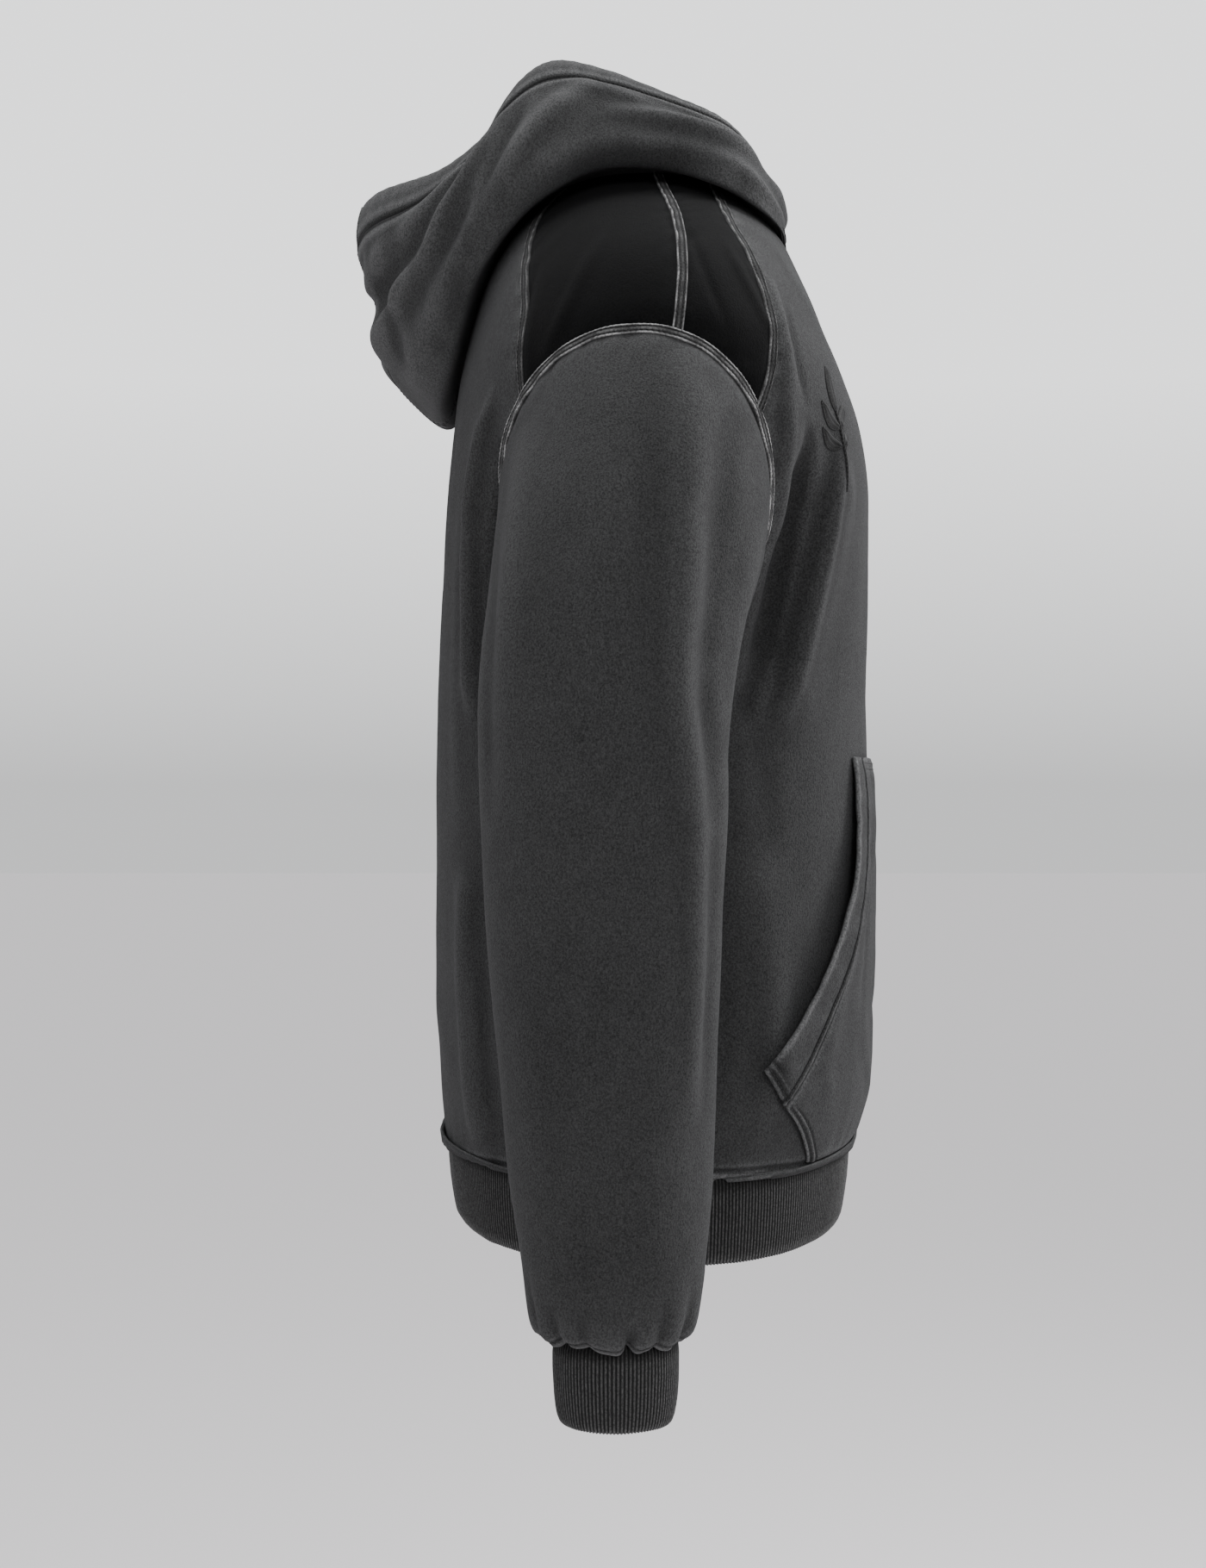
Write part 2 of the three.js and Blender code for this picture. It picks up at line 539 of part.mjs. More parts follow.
const turnsBetween = (from, to, steps) => shares(steps).slice(1).map((share) => mix(from, to, share));
const armholeTurns = [
  ...turnsBetween(SHOULDER_TURN, FRONT_INSERT_TURN, FRONT_INSERT_STEPS),
  ...turnsBetween(FRONT_INSERT_TURN, 180, FRONT_ARMHOLE_STEPS),
  ...turnsBetween(180, 360 - BACK_INSERT_TURN, BACK_ARMHOLE_STEPS),
  ...turnsBetween(360 - BACK_INSERT_TURN, 360 + SHOULDER_TURN, BACK_INSERT_STEPS),
];
const sleeveLevels = [
  ...shares(SLEEVE_ROWS).slice(0, -1).map((share) => mix(CUFF_SEAM_Z + 30, CAP_END_Z, share)),
];
const sleevePoints = [
  ...[CUFF_SEAM_Z, CUFF_SEAM_Z + 6, CUFF_SEAM_Z + 17].map((z) => armholeTurns.map((turn) => sleeveSection(turn, z))),
  ...sleeveLevels.map((z) => armholeTurns.map((turn) => sleeveSection(turn, z))),
  ...shares(CAP_ROWS).reverse().map((share) => armholeTurns.map((turn) => capPoint(turn, share))),
];
const sleeve = withNormals(sleevePoints, true);
addPair('sleeve', insetEdges(sleeve, { sides: false }), CLOTH, fleece, true);

// ---------- rib knit: a level ring with raised upright ribs over a plain inside ----------
// outline is a closed run of points; each level moves it down and scales it about its middle.
function ribRing(outline, middle, ribs, levels) {
  const ring = new THREE.CatmullRomCurve3(outline, true, 'centripetal').getSpacedPoints(ribs * 2);
  ring.pop();
  const rows = levels.map(({ down, scale }) => ring.map((point) => new THREE.Vector3(
    mix(middle.x, point.x, scale),
    mix(middle.y, point.y, scale),
    point.z - down,
  )));
  return withNormals(rows.reverse(), true).map((row) => row.map(({ point, normal }, column) => {
    const raised = column % 2 === 0 ? RIB_DEPTH : 0;
    return { point: point.addScaledVector(normal, raised), normal, extra: raised };
  }));
}

const ringTurns = shares(RING_STEPS).slice(0, -1).map((share) => 360 * share);

const cuffOutline = ringTurns.map((turn) => new THREE.Vector3(
  CUFF_CENTRE_X - CUFF_HALF_X * Math.cos(radians(turn)),
  CUFF_CENTRE_Y - CUFF_HALF_Y * Math.sin(radians(turn)),
  CUFF_SEAM_Z - SEAM_GAP,
));
const cuffMiddle = new THREE.Vector3(CUFF_CENTRE_X, CUFF_CENTRE_Y, 0);
const cuffLevels = [
  { down: 0, scale: 1 },
  { down: CUFF_SEAM_Z - CUFF_BOTTOM_Z, scale: 0.94 },
];
addPair('cuff', ribRing(cuffOutline, cuffMiddle, CUFF_RIBS, cuffLevels), RIB_WALL, ribKnit, true);

const hemOutline = ringTurns.map((turn) => {
  const quarter = degrees(Math.asin(Math.sin(radians(turn))));
  const point = bodyPoint(-quarter, HEM_SEAM_Z);
  const side = Math.cos(radians(turn)) < 0 ? -1 : 1;
  return new THREE.Vector3(point.x * side, point.y, hemPlace(quarter).z - SEAM_GAP);
});
const hemLevels = [
  { down: 0, scale: 0.985 },
  { down: RIB_HEIGHT, scale: 0.965 },
];
add('hem_rib', ribRing(hemOutline, new THREE.Vector3(), HEM_RIBS, hemLevels), RIB_WALL, ribKnit, true);

// ---------- hood ----------
// One section of the hood: out from the neck seam over the shoulder to the fold, then up and
// back in to the rim.
function hoodSection(at) {
  const column = (name) => read(HOOD_SECTIONS, 'at', at, name);
  const edge = at === 0 || at === 1;
  const turn = edge ? (at * 2 - 1) * 90 : column('fold_turn');
  const onBody = (share) => {
    const z = mix(neckPlace(turn).z - HOOD_NECK_LAP, column('fold_z'), share);
    const off = mix(HOOD_NECK_LIFT, column('fold_off'), Math.sqrt(share));
    return bodyPoint(turn, z).addScaledVector(bodyNormal(turn, z), off);
  };
  const fold = onBody(1);
  const rim = new THREE.Vector3(edge ? 0 : column('rim_x'), column('rim_y'), column('rim_z'));
  const centre = new THREE.Vector3(0, HOOD_MIDDLE_Y, 0);
  const outward = fold.clone().lerp(rim, 0.5).sub(centre).setZ(0).normalize();
  const onWall = (share) => fold.clone().lerp(rim, share)
    .addScaledVector(outward, column('bulge') * Math.sin(Math.PI * share ** 0.75));
  const under = shares(HOOD_UNDER_ROWS).slice(0, -1).map(onBody);
  return [...under, fold, ...shares(HOOD_WALL_ROWS).slice(1).map(onWall)];
}

const hoodColumns = shares(HOOD_COLUMNS).reverse().map(hoodSection);
const hoodPoints = hoodColumns[0].map((_, row) => hoodColumns.map((section) => section[row]));
const hood = withNormals(hoodPoints, false).map((row) => row.map(({ point, normal }, column) => {
  const onCentre = column === 0 || column === row.length - 1;
  return { point, normal: onCentre ? normal.setX(0).normalize() : normal };
}));
const rimStart = hood.length - 1 - RIM_ROWS;
addPair('hood', insetEdges(hood.slice(0, rimStart + 1)), CLOTH, fleece);
addPair('hood_rim_hem', insetEdges(hood.slice(rimStart)), FOLDED_CLOTH, fleece);

// ---------- pocket: made from the front body's face, moved out ----------
function pocketSheet(from, to, columns) {
  const rows = shares(POCKET_ROWS).map((share) => shares(columns).map((across) => {
    const level = mix(HEM_SEAM_Z, POCKET_TOP_Z, share);
    const reach = mix(from, to, across);
    const halfWidth = read(POCKET_SECTIONS, 'z', level, 'half_width');
    const { turn } = placeAtHalfWidth(halfWidth * Math.abs(reach), level);
    const z = level + POCKET_HEM_GAP + (hemPlace(turn).z - HEM_SEAM_Z) * (1 - share);
    const stand = read(POCKET_SECTIONS, 'z', level, 'stand_off') * reach ** 4;
    const normal = bodyNormal(turn, z);
    const off = POCKET_CLEARANCE + CLOTH + stand;
    const point = bodyPoint(turn, z).addScaledVector(normal, off);
    const side = reach < 0 ? -1 : 1;
    return {
      point: new THREE.Vector3(point.x * side, point.y, point.z),
      normal: new THREE.Vector3(normal.x * side, normal.y, normal.z),
    };
  }));
  return rows;
}

add('pocket', insetEdges(pocketSheet(-POCKET_BAND, POCKET_BAND, POCKET_COLUMNS)), CLOTH, fleece);
addPair('pocket_band', insetEdges(pocketSheet(POCKET_BAND, 1, 2)), CLOTH, fleece);

// ---------- raised flat seams: strips of a panel's own points, moved out ----------
function along(from, towards, distance) {
  const share = distance / from.point.distanceTo(towards.point);
  return {
    point: from.point.clone().lerp(towards.point, share),
    normal: from.normal.clone().lerp(towards.normal, share).normalize(),
  };
}

function lifted({ point, normal }) {
  return { point: point.clone().addScaledVector(normal, SEAM_LIFT + SEAM_RAISE), normal };
}

// pairs are a panel's edge points, each with the panel's next point inward from the edge.
function seamStrip(pairs, width) {
  const near = pairs.map(([edge, next]) => lifted(along(edge, next, SEAM_GAP)));
  const far = pairs.map(([edge, next]) => lifted(along(edge, next, SEAM_GAP + width)));
  return [near, far];
}

// The first and last pairs of a seam moved along it, to stay clear of the seams it meets.
function trimmed(pairs, start) {
  const first = pairs[0].map((item, k) => along(item, pairs[1][k], start));
  return [first, ...pairs.slice(1, -1)];
}

const sidePairs = (half) => half.map((row) => [row[HALF_COLUMNS], row[HALF_COLUMNS - 1]]);
const frontPairs = sidePairs(frontHalf);
const backPairs = sidePairs(backHalf);
const insertPairs = (sheet) => sheet.map((row) => [row[0], row[1]]);
const frontCornerRow = BODY_ROWS_BELOW + FRONT_ARMHOLE_STEPS;
const backCornerRow = BODY_ROWS_BELOW + BACK_ARMHOLE_STEPS;
const armholePairs = [
  ...frontPairs.slice(frontCornerRow - SEAM_STEPS_BELOW, frontCornerRow + 1),
  ...insertPairs(frontInsert),
  ...insertPairs(backInsert).reverse().slice(1),
  ...backPairs.slice(backCornerRow - SEAM_STEPS_BELOW, backCornerRow + 1).reverse(),
];
addPair('armhole_seam', seamStrip(armholePairs, SEAM_WIDTH), SEAM_RAISE, seamCloth);

const shoulderFront = frontInsert[FRONT_INSERT_STEPS].map((item, c) => [item, frontInsert[FRONT_INSERT_STEPS - 1][c]]);
const shoulderBack = backInsert[BACK_INSERT_STEPS].map((item, c) => [item, backInsert[BACK_INSERT_STEPS - 1][c]]);
const shoulderStrip = [shoulderFront, shoulderBack].map((pairs) => trimmed(pairs, SEAM_WIDTH + 2)
  .map(([edge, next]) => lifted(along(edge, next, SEAM_WIDTH / 2))));
addPair('shoulder_seam', shoulderStrip, SEAM_RAISE, seamCloth);

const frontEdgePairs = trimmed(frontPairs.slice(frontCornerRow), SEAM_WIDTH + 2);
const backEdgePairs = trimmed(backPairs.slice(backCornerRow), SEAM_WIDTH + 2);
addPair('front_insert_seam', seamStrip(frontEdgePairs, SEAM_WIDTH), SEAM_RAISE, seamCloth);
addPair('back_insert_seam', seamStrip(backEdgePairs, SEAM_WIDTH), SEAM_RAISE, seamCloth);

export default hoodie;
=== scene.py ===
import math

import bpy
import numpy as np
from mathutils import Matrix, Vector, noise


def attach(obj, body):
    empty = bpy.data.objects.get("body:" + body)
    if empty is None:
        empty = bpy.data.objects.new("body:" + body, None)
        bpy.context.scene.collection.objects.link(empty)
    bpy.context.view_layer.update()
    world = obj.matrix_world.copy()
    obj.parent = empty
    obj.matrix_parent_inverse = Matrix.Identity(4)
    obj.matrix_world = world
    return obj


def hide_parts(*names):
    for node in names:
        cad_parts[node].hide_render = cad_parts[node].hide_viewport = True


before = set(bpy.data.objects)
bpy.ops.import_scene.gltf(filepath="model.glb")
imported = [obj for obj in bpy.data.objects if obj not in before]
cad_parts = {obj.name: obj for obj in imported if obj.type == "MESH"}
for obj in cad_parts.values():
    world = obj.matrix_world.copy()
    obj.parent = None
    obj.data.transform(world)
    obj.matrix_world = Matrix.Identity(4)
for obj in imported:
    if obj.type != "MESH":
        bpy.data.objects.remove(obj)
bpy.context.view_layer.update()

MM = 0.001
BODY = "root"
rng = np.random.default_rng(7)

# ---------- sizes, as in the part ----------
CLOTH = 2.0                 # wall of the fleece
FOLDED = 3.4                # wall where it is folded and stitched
BAND_CLOTH = 2.8            # wall of the pocket's opening bands
GAP = 0.3                   # between sewn pieces
NECK_DROP_FRONT = 39.0
NECK_DROP_BACK = 8.0
HEM_Z = -594.0
HEM_SIDE_DIP = 11.0
RIB_HEIGHT = 50.0
CUFF_SEAM_Z = -679.0
UNDERARM_Z = -300.0
ARMHOLE_TOP_Z = -131.0
ARMHOLE_HALF_WIDTH = 77.0
ARMHOLE_CENTRE_Y = 14.0
ARMHOLE_POWER = 2.15
SHOULDER_TURN = 16.0
FRONT_INSERT_TURN = 62.0
BACK_INSERT_TURN = 53.0
FRONT_NECK_TURN = 37.0
BACK_NECK_TURN = 47.0
SHOULDER_NECK_TURN = -2.0
CAP_FLARE = 0.85
CAP_END_Z = -341.0

# Level sections of the body's outer face.
BODY_COLUMNS = ("z", "half_width", "front", "back", "power")
BODY_SECTIONS = np.array([
    (-610, 191, 123, 129.5, 2.5),
    (-592, 195, 127, 131.5, 2.5),
    (-560, 198, 133, 134, 2.5),
    (-480, 193, 135.5, 136.5, 2.55),
    (-400, 190, 136, 136.5, 2.6),
    (-330, 190, 135.5, 135.5, 2.6),
    (-300, 194, 135.6, 134.5, 2.55),
    (-260, 208, 135.8, 133, 2.5),
    (-225, 230, 135.8, 131.5, 2.45),
    (-190, 252, 135.2, 129, 2.35),
    (-160, 264, 130.5, 125.5, 2.3),
    (-131, 269, 120.5, 121.5, 2.25),
    (-110, 262, 112, 117.5, 2.2),
    (-84, 240, 102.5, 111, 2.2),
    (-60, 205, 92.5, 103, 2.2),
    (-39, 163, 83, 92.5, 2.2),
    (-20, 118, 70, 80, 2.2),
    (-8, 90, 60, 71, 2.2),
    (0, 77, 54, 64, 2.2),
])

# Folds and creases run from one place to another: turn, z, turn, z, width, height of the ridge.
# A turn is in degrees: -90 at the centre front, 0 at the side, 90 at the centre back.
# These soft folds are shared with the solids.
BODY_FOLDS = [
    (-52, -195, -30, -330, 30, 8),
    (-34, -205, -22, -300, 28, -8),
    (-34, -100, -31, -185, 26, 3),
    (50, -165, 48, -330, 28, 6),
    (30, -230, 30, -400, 30, -6),
    (52, -430, 46, -585, 30, 5),
    (-20, -420, -28, -560, 34, 4),
]

# Finer creases of the body's right side; the left side has the same, reversed and eased.
BODY_CREASES = [
    (-51, -160, -25, -352, 12, 6.0),
    (-39, -170, -15, -345, 13, -8.0),
    (-35, -92, -31, -160, 11, 2.4),
    (-31, -150, -26, -245, 13, 2.6),
    (-39, -108, -36, -165, 9, -2.4),
    (-24, -262, -17, -340, 16, 1.6),
    (-19, -330, -24, -430, 20, -1.2),
    (-28, -470, -22, -590, 20, 1.0),
    (-14, -400, -17, -585, 20, 0.8),
    (-62, -60, -74, -130, 15, -1.4),
    (-46, -70, -60, -120, 13, 1.2),
    (-75, -380, -60, -350, 18, -1.0),
    (46, -150, 51, -225, 13, 3.8),
    (51, -205, 47, -345, 14, 4.0),
    (41, -180, 37, -330, 13, -6.0),
    (60, -200, 56, -420, 20, 1.6),
    (49, -430, 54, -510, 15, 1.6),
    (54, -490, 49, -592, 15, 1.8),
    (44, -460, 41, -590, 15, -1.6),
    (70, -150, 82, -260, 24, -1.6),
    (33, -350, 37, -560, 18, 1.2),
    (20, -380, 24, -590, 18, -1.0),
    (84, -500, 66, -560, 20, 1.0),
]

CREASE_GAIN = 1.15

# The inserts' edges and the shoulder seam, as (z, y) places seen from the side.
FRONT_INSERT_EDGE = [(-143, -63), (-110, -61), (-76, -52), (-50, -43), (-24, -39)]
BACK_INSERT_EDGE = [(-140, 78), (-112, 76), (-84, 76), (-52, 74), (-24, 66)]
SHOULDER_SEAM = [(-108, -12), (-80, -13), (-50, -11), (-22, -6)]

SLEEVE_COLUMNS = ("z", "centre_x", "centre_y", "half_x", "half_y")
SLEEVE_SECTIONS = np.array([
    (-679, -258, 24.5, 38, 36.5),
    (-673, -258, 25, 45, 43.5),
    (-660, -258, 25, 49, 47.5),
    (-637, -258.5, 25.5, 51, 50.5),
    (-595, -259.5, 26.5, 54, 55.5),
    (-522, -261, 28.5, 58, 60),
    (-459, -262, 30, 62, 64.4),
    (-396, -262.5, 30.7, 65, 67.3),
    (-341, -263, 31.7, 66, 67.8),
])

# Creases of the right sleeve; turn is degrees round it, 0 outside, 90 to the front.
SLEEVE_CREASES = [
    (18, -140, 40, -400, 15, 5.0),
    (42, -340, 50, -560, 13, 3.2),
    (42, -170, 60, -400, 15, -6.0),
    (62, -380, 64, -560, 14, -3.0),
    (76, -230, 84, -360, 14, 4.0),
    (-50, -180, -46, -330, 18, 3.0),
    (-70, -240, -66, -400, 14, -3.0),
    (30, -160, 33, -235, 16, 1.7),
    (33, -235, 48, -305, 15, 2.1),
    (48, -305, 74, -352, 15, 2),
    (52, -215, 66, -290, 15, -1.7),
    (74, -352, 76, -440, 15, 1.2),
    (14, -200, 18, -330, 22, -1),
    (-42, -170, -48, -300, 19, 1.1),
    (-62, -250, -58, -420, 18, -1.1),
    (-30, -330, -38, -470, 25, 0.7),
    (8, -380, -2, -520, 28, -0.6),
    (36, -420, 30, -560, 25, 0.7),
    (-52, -480, -44, -610, 18, 1),
    (60, -470, 52, -610, 16, -1),
    (20, -560, 28, -640, 15, 0.9),
    (-16, -590, -20, -650, 14, -0.9),
    (100, -300, 120, -380, 20, 1.9),
    (115, -350, 140, -430, 20, -1.5),
    (150, -310, 160, -420, 22, 1.2),
    (200, -330, 215, -430, 22, -1.2),
    (240, -320, 230, -420, 20, 1.5),
    (170, -470, 200, -560, 28, 1),
    (250, -450, 262, -600, 22, 0.9),
]
# Pleats where the sleeve is gathered into its cuff: turn, depth, width in degrees, height.
CUFF_PLEATS = [
    (9, 6.0, 4.0, 20), (-20, 2.0, 6, 40), (32, 2.4, 6, 44), (-44, 3.0, 7, 40),
    (58, 3.2, 7, 56), (-70, 3.2, 7, 62), (84, 2.6, 7, 40), (112, 3.0, 7, 44),
    (146, 2.8, 7, 36), (178, 3.6, 6, 34), (216, 2.4, 7, 46), (252, 3.0, 7, 40),
]

# The hood from centre front (0) to centre back (1).
HOOD_COLUMNS = ("at", "fold_turn", "fold_z", "fold_off", "rim_x", "rim_y", "rim_z", "bulge")
HOOD_SECTIONS = np.array([
    (0, -90, -37, 1.0, 0, -79, -28, 0),
    (0.08, -72, -42, 2.2, -24, -76, -11, 1),
    (0.17, -50, -43, 5, -55, -66, 12, 6),
    (0.26, -30, -32, 7, -82, -44, 31, 13),
    (0.35, -5, -19, 9, -97, -10, 43, 16),
    (0.44, 20, -21, 12, -102, 28, 56, 18),
    (0.53, 40, -38, 10, -101, 62, 62, 19),
    (0.62, 55, -62, 8, -98, 86, 48, 20),
    (0.71, 65, -88, 8, -94, 104, 20, 21),
    (0.8, 71, -119, 7, -84, 137, -2, 22),
    (0.9, 78, -146, 6, -52, 172, -6, 20),
    (1, 90, -154, 5, 0, 191, -6, 17),
])
HOOD_MIDDLE_Y = 40.0
HOOD_NECK_LIFT = -1.6       # sewn into the neck edge, which the seam pulls in
HOOD_NECK_LAP = 1.5

# Half width of the pocket at each level, and how far its edge stands off the body.
POCKET_COLUMNS = ("z", "half_width", "stand_off")
POCKET_SECTIONS = np.array([
    (-592, 158, 0),
    (-564, 176, 0),
    (-536, 186, 1),
    (-508, 173, 5),
    (-484, 161, 8),
    (-460, 149, 8),
    (-433, 137, 7),
    (-400, 126, 3),
    (-362, 120, 0),
])
POCKET_TOP_Z = -362.0
# Half width of the seam between pocket and band at each level; it runs out on the lower slant.
POCKET_SEAM = np.array([
    (-592, 158),
    (-557, 180),
    (-536, 167),
    (-508, 153),
    (-484, 141),
    (-460, 129),
    (-433, 118),
    (-400, 107),
    (-362, 101),
])
POCKET_CORNER_Z = -536.0
POCKET_SLANT_Z = -557.0
SLANT_STITCHES = (2.4, 7.2)    # stitch lines in from the edge of the lower slant
POCKET_LIFT = 1.1
HEM_STITCH = 5.6            # the stitch line above the lower edge of body and sleeves
NECK_STITCHES = (9.0, 14.5) # the stitch lines below the front body's neck edge
EDGE_ROUNDING = 0.3         # how far a wall's edge bulges, as a share of its thickness
FRONT_SEED = 1.3            # the front body's unevenness, which pocket and sprig lie on


# ---------- curves and tables ----------
def hermite(t, start, slope_start, end, slope_end):
    """A cubic from start to end, with its slopes there, for t from 0 to 1."""
    t2 = t * t
    t3 = t2 * t
    return ((2 * t3 - 3 * t2 + 1) * start + (t3 - 2 * t2 + t) * slope_start
            + (3 * t2 - 2 * t3) * end + (t3 - t2) * slope_end)


def read(table, columns, values, column):
    """Smooth reading of one column of a table that is sorted by its first column."""
    keys = table[:, 0]
    data = table[:, columns.index(column)]
    values = np.asarray(values, dtype=float)
    row = np.clip(np.searchsorted(keys, values, side="left") - 1, 0, len(keys) - 2)
    before = np.maximum(row - 1, 0)
    after = np.minimum(row + 2, len(keys) - 1)
    span = keys[row + 1] - keys[row]
    t = np.clip((values - keys[row]) / span, 0, 1)
    slope_start = (data[row + 1] - data[before]) / (keys[row + 1] - keys[before])
    slope_end = (data[after] - data[row]) / (keys[after] - keys[row])
    return hermite(t, data[row], slope_start * span, data[row + 1], slope_end * span)


def body(column, z):
    return read(BODY_SECTIONS, BODY_COLUMNS, z, column)


def smooth(value, low, high):
    """Rises softly from 0 at low to 1 at high."""
    t = np.clip((np.asarray(value, dtype=float) - low) / (high - low), 0, 1)
    return t * t * (3 - 2 * t)


def bump(distance, middle, width):
    """1 where the distance is the middle, fading to 0 on both sides."""
    return np.exp(-((distance - middle) / width) ** 2)


def fade(distance, reach, power=1.3):
    """1 at no distance, fading to 0 past the reach."""
    return np.exp(-(distance / reach) ** power)


def signed_power(value, power):
    return np.sign(value) * np.abs(value) ** power


def unit(vectors):
    return vectors / np.maximum(np.linalg.norm(vectors, axis=-1, keepdims=True), 1e-9)


def length_along(line):
    """Length of the line up to each of its points."""
    return np.concatenate([[0], np.cumsum(np.linalg.norm(np.diff(line, axis=0), axis=1))])


# ---------- folds and creases ----------
def fold_shape(distance, width, share=None):
    """Section of a fold that keeps its height, whatever the share of the way along it."""
    return np.exp(-2 * (distance / width) ** 2)


def crease_shape(distance, width, share):
    """The same rounded section, fading out at both ends."""
    return fold_shape(distance, width, share) * smooth(share, -0.12, 0.34) * smooth(1 - share, -0.12, 0.34)


def beside_line(across, up, run_across, run_up, ends=(0.0, 1.0)):
    """Distance from a line out of the zero point, and the share of the way along it."""
    share = (across * run_across + up * run_up) / (run_across ** 2 + run_up ** 2)
    near = np.clip(share, *ends)
    return np.hypot(across - near * run_across, up - near * run_up), share


def crease_field(turn, z, creases, radius, ends=(0.0, 1.0), shape=crease_shape):
    """Sum of soft ridges and hollows; the radius turns degrees into millimetres."""
    total = np.zeros_like(turn)
    for turn_a, z_a, turn_b, z_b, width, height in creases:
        across = np.radians(turn - turn_a) * radius
        run = np.radians(turn_b - turn_a) * radius
        distance, share = beside_line(across, z - z_a, run, z_b - z_a, ends)
        total += height * shape(distance, width, share)
    return total


def lumps(points, size, octaves, seed):
    """Even noise about zero at each point, for unevenness of the given size in millimetres."""
    flat = points.reshape(-1, 3) / size
    offset = Vector((seed, seed * 1.7, -seed))
    values = [noise.fractal(Vector(p) + offset, 0.6, 2.0, octaves) for p in flat]
    return np.array(values).reshape(points.shape[:-1])


# ---------- the body's outer face ----------
def body_points(turn, z, side=1.0):
    """Points of the right side's face; side is -1 for the left side's own creases."""
    turn = np.asarray(turn, dtype=float)
    z = np.asarray(z, dtype=float)
    power = body("power", z)
    half_width = body("half_width", z)
    depth = np.where(turn < 0, body("front", z), body("back", z))
    folds = crease_field(turn, z, BODY_FOLDS, half_width, (0.1, 0.9), fold_shape)
    angle = np.radians(turn)
    cosine = np.where(np.abs(turn) >= 90, 0.0, np.cos(angle))
    sine = np.sin(angle)
    x = -(half_width + folds * cosine) * np.abs(cosine) ** (2 / power)
    y = (depth + folds * np.abs(sine)) * signed_power(sine, 2 / power)
    return np.stack([x * side, y, z], axis=-1)


def body_normals(turn, z, side, step):
    """Outward normals of the face, from points a step of the turn and 2 mm of height away."""
    across = (body_points(np.minimum(turn + step, 90), z, side)
              - body_points(np.maximum(turn - step, -90), z, side))
    upward = body_points(turn, z + 2, side) - body_points(turn, z - 2, side)
    return unit(np.cross(upward, across) * side)


def turn_at(y, z):
    power = body("power", z)
    depth = np.where(np.asarray(y) < 0, body("front", z), body("back", z))
    sine = np.sign(y) * np.minimum(np.abs(y) / depth, 1) ** (power / 2)
    return np.degrees(np.arcsin(sine))


def turn_at_half_width(half_width, z):
    ratio = np.clip(half_width / body("half_width", z), 0, 1)
    return -np.degrees(np.arccos(ratio ** (body("power", z) / 2)))


def neck_level(turn):
    share = np.abs(np.sin(np.radians(turn)))
    return np.where(turn < 0, -NECK_DROP_FRONT * share ** 4.5, -NECK_DROP_BACK * share ** 3)


def hem_level(turn):
    return HEM_Z - HEM_SIDE_DIP * np.cos(np.radians(turn)) ** 2


def armhole(turn):
    """Places on the body round the armhole: positive turns to the front, negative to the back."""
    turn = np.radians(np.asarray(turn, dtype=float))
    middle = (ARMHOLE_TOP_Z + UNDERARM_Z) / 2
    half_height = (ARMHOLE_TOP_Z - UNDERARM_Z) / 2
    across = signed_power(np.sin(turn), 2 / ARMHOLE_POWER)
    up = signed_power(np.cos(turn), 2 / ARMHOLE_POWER)
    z = middle + half_height * up
    return np.stack([turn_at(ARMHOLE_CENTRE_Y - ARMHOLE_HALF_WIDTH * across, z), z], axis=-1)


def route(places, steps):
    """Even steps along a smooth centripetal line through places."""
    control = np.array(places, dtype=float)
    padded = np.vstack([2 * control[0] - control[1], control, 2 * control[-1] - control[-2]])
    line = []
    for a, b, c, d in zip(padded, padded[1:], padded[2:], padded[3:]):
        gaps = [max(np.linalg.norm(q - p) ** 0.5, 1e-6) for p, q in ((a, b), (b, c), (c, d))]
        slope_b = (b - a) / gaps[0] - (c - a) / (gaps[0] + gaps[1]) + (c - b) / gaps[1]
        slope_c = (c - b) / gaps[1] - (d - b) / (gaps[1] + gaps[2]) + (d - c) / gaps[2]
        t = np.linspace(0, 1, 60, endpoint=False)[:, None]
        line.append(hermite(t, b, slope_b * gaps[1], c, slope_c * gaps[1]))
    return spaced(np.vstack(line + [control[-1:]]), steps)


def spaced(line, steps):
    """The line's points redrawn at even steps of its length."""
    reach = length_along(line)
    want = np.linspace(0, reach[-1], steps + 1)
    return np.stack([np.interp(want, reach, line[:, k]) for k in range(line.shape[1])], axis=-1)


def patch(bottom, top, left, right):
    """Places blended from four edges: bottom and top run left to right, the sides run up."""
    u = np.linspace(0, 1, len(bottom))[None, :, None]
    v = np.linspace(0, 1, len(left))[:, None, None]
    sides = left[:, None] * (1 - u) + right[:, None] * u
    ends = bottom[None] * (1 - v) + top[None] * v
    low = bottom[0] * (1 - u) + bottom[-1] * u
    high = top[0] * (1 - u) + top[-1] * u
    return sides + ends - (low * (1 - v) + high * v)


# ---------- sheets of points and their walls ----------
def normals_of(points, closed=False):
    if closed:
        across = np.roll(points, -1, axis=1) - np.roll(points, 1, axis=1)
    else:
        across = np.gradient(points, axis=1)
    return unit(np.cross(across, np.gradient(points, axis=0)))


def facing(points, outward, closed=False):
    """The sheet's normals, turned to agree with a rough outward direction."""
    normals = normals_of(points, closed)
    return normals * np.sign(np.sum(normals * outward, axis=-1, keepdims=True).sum())


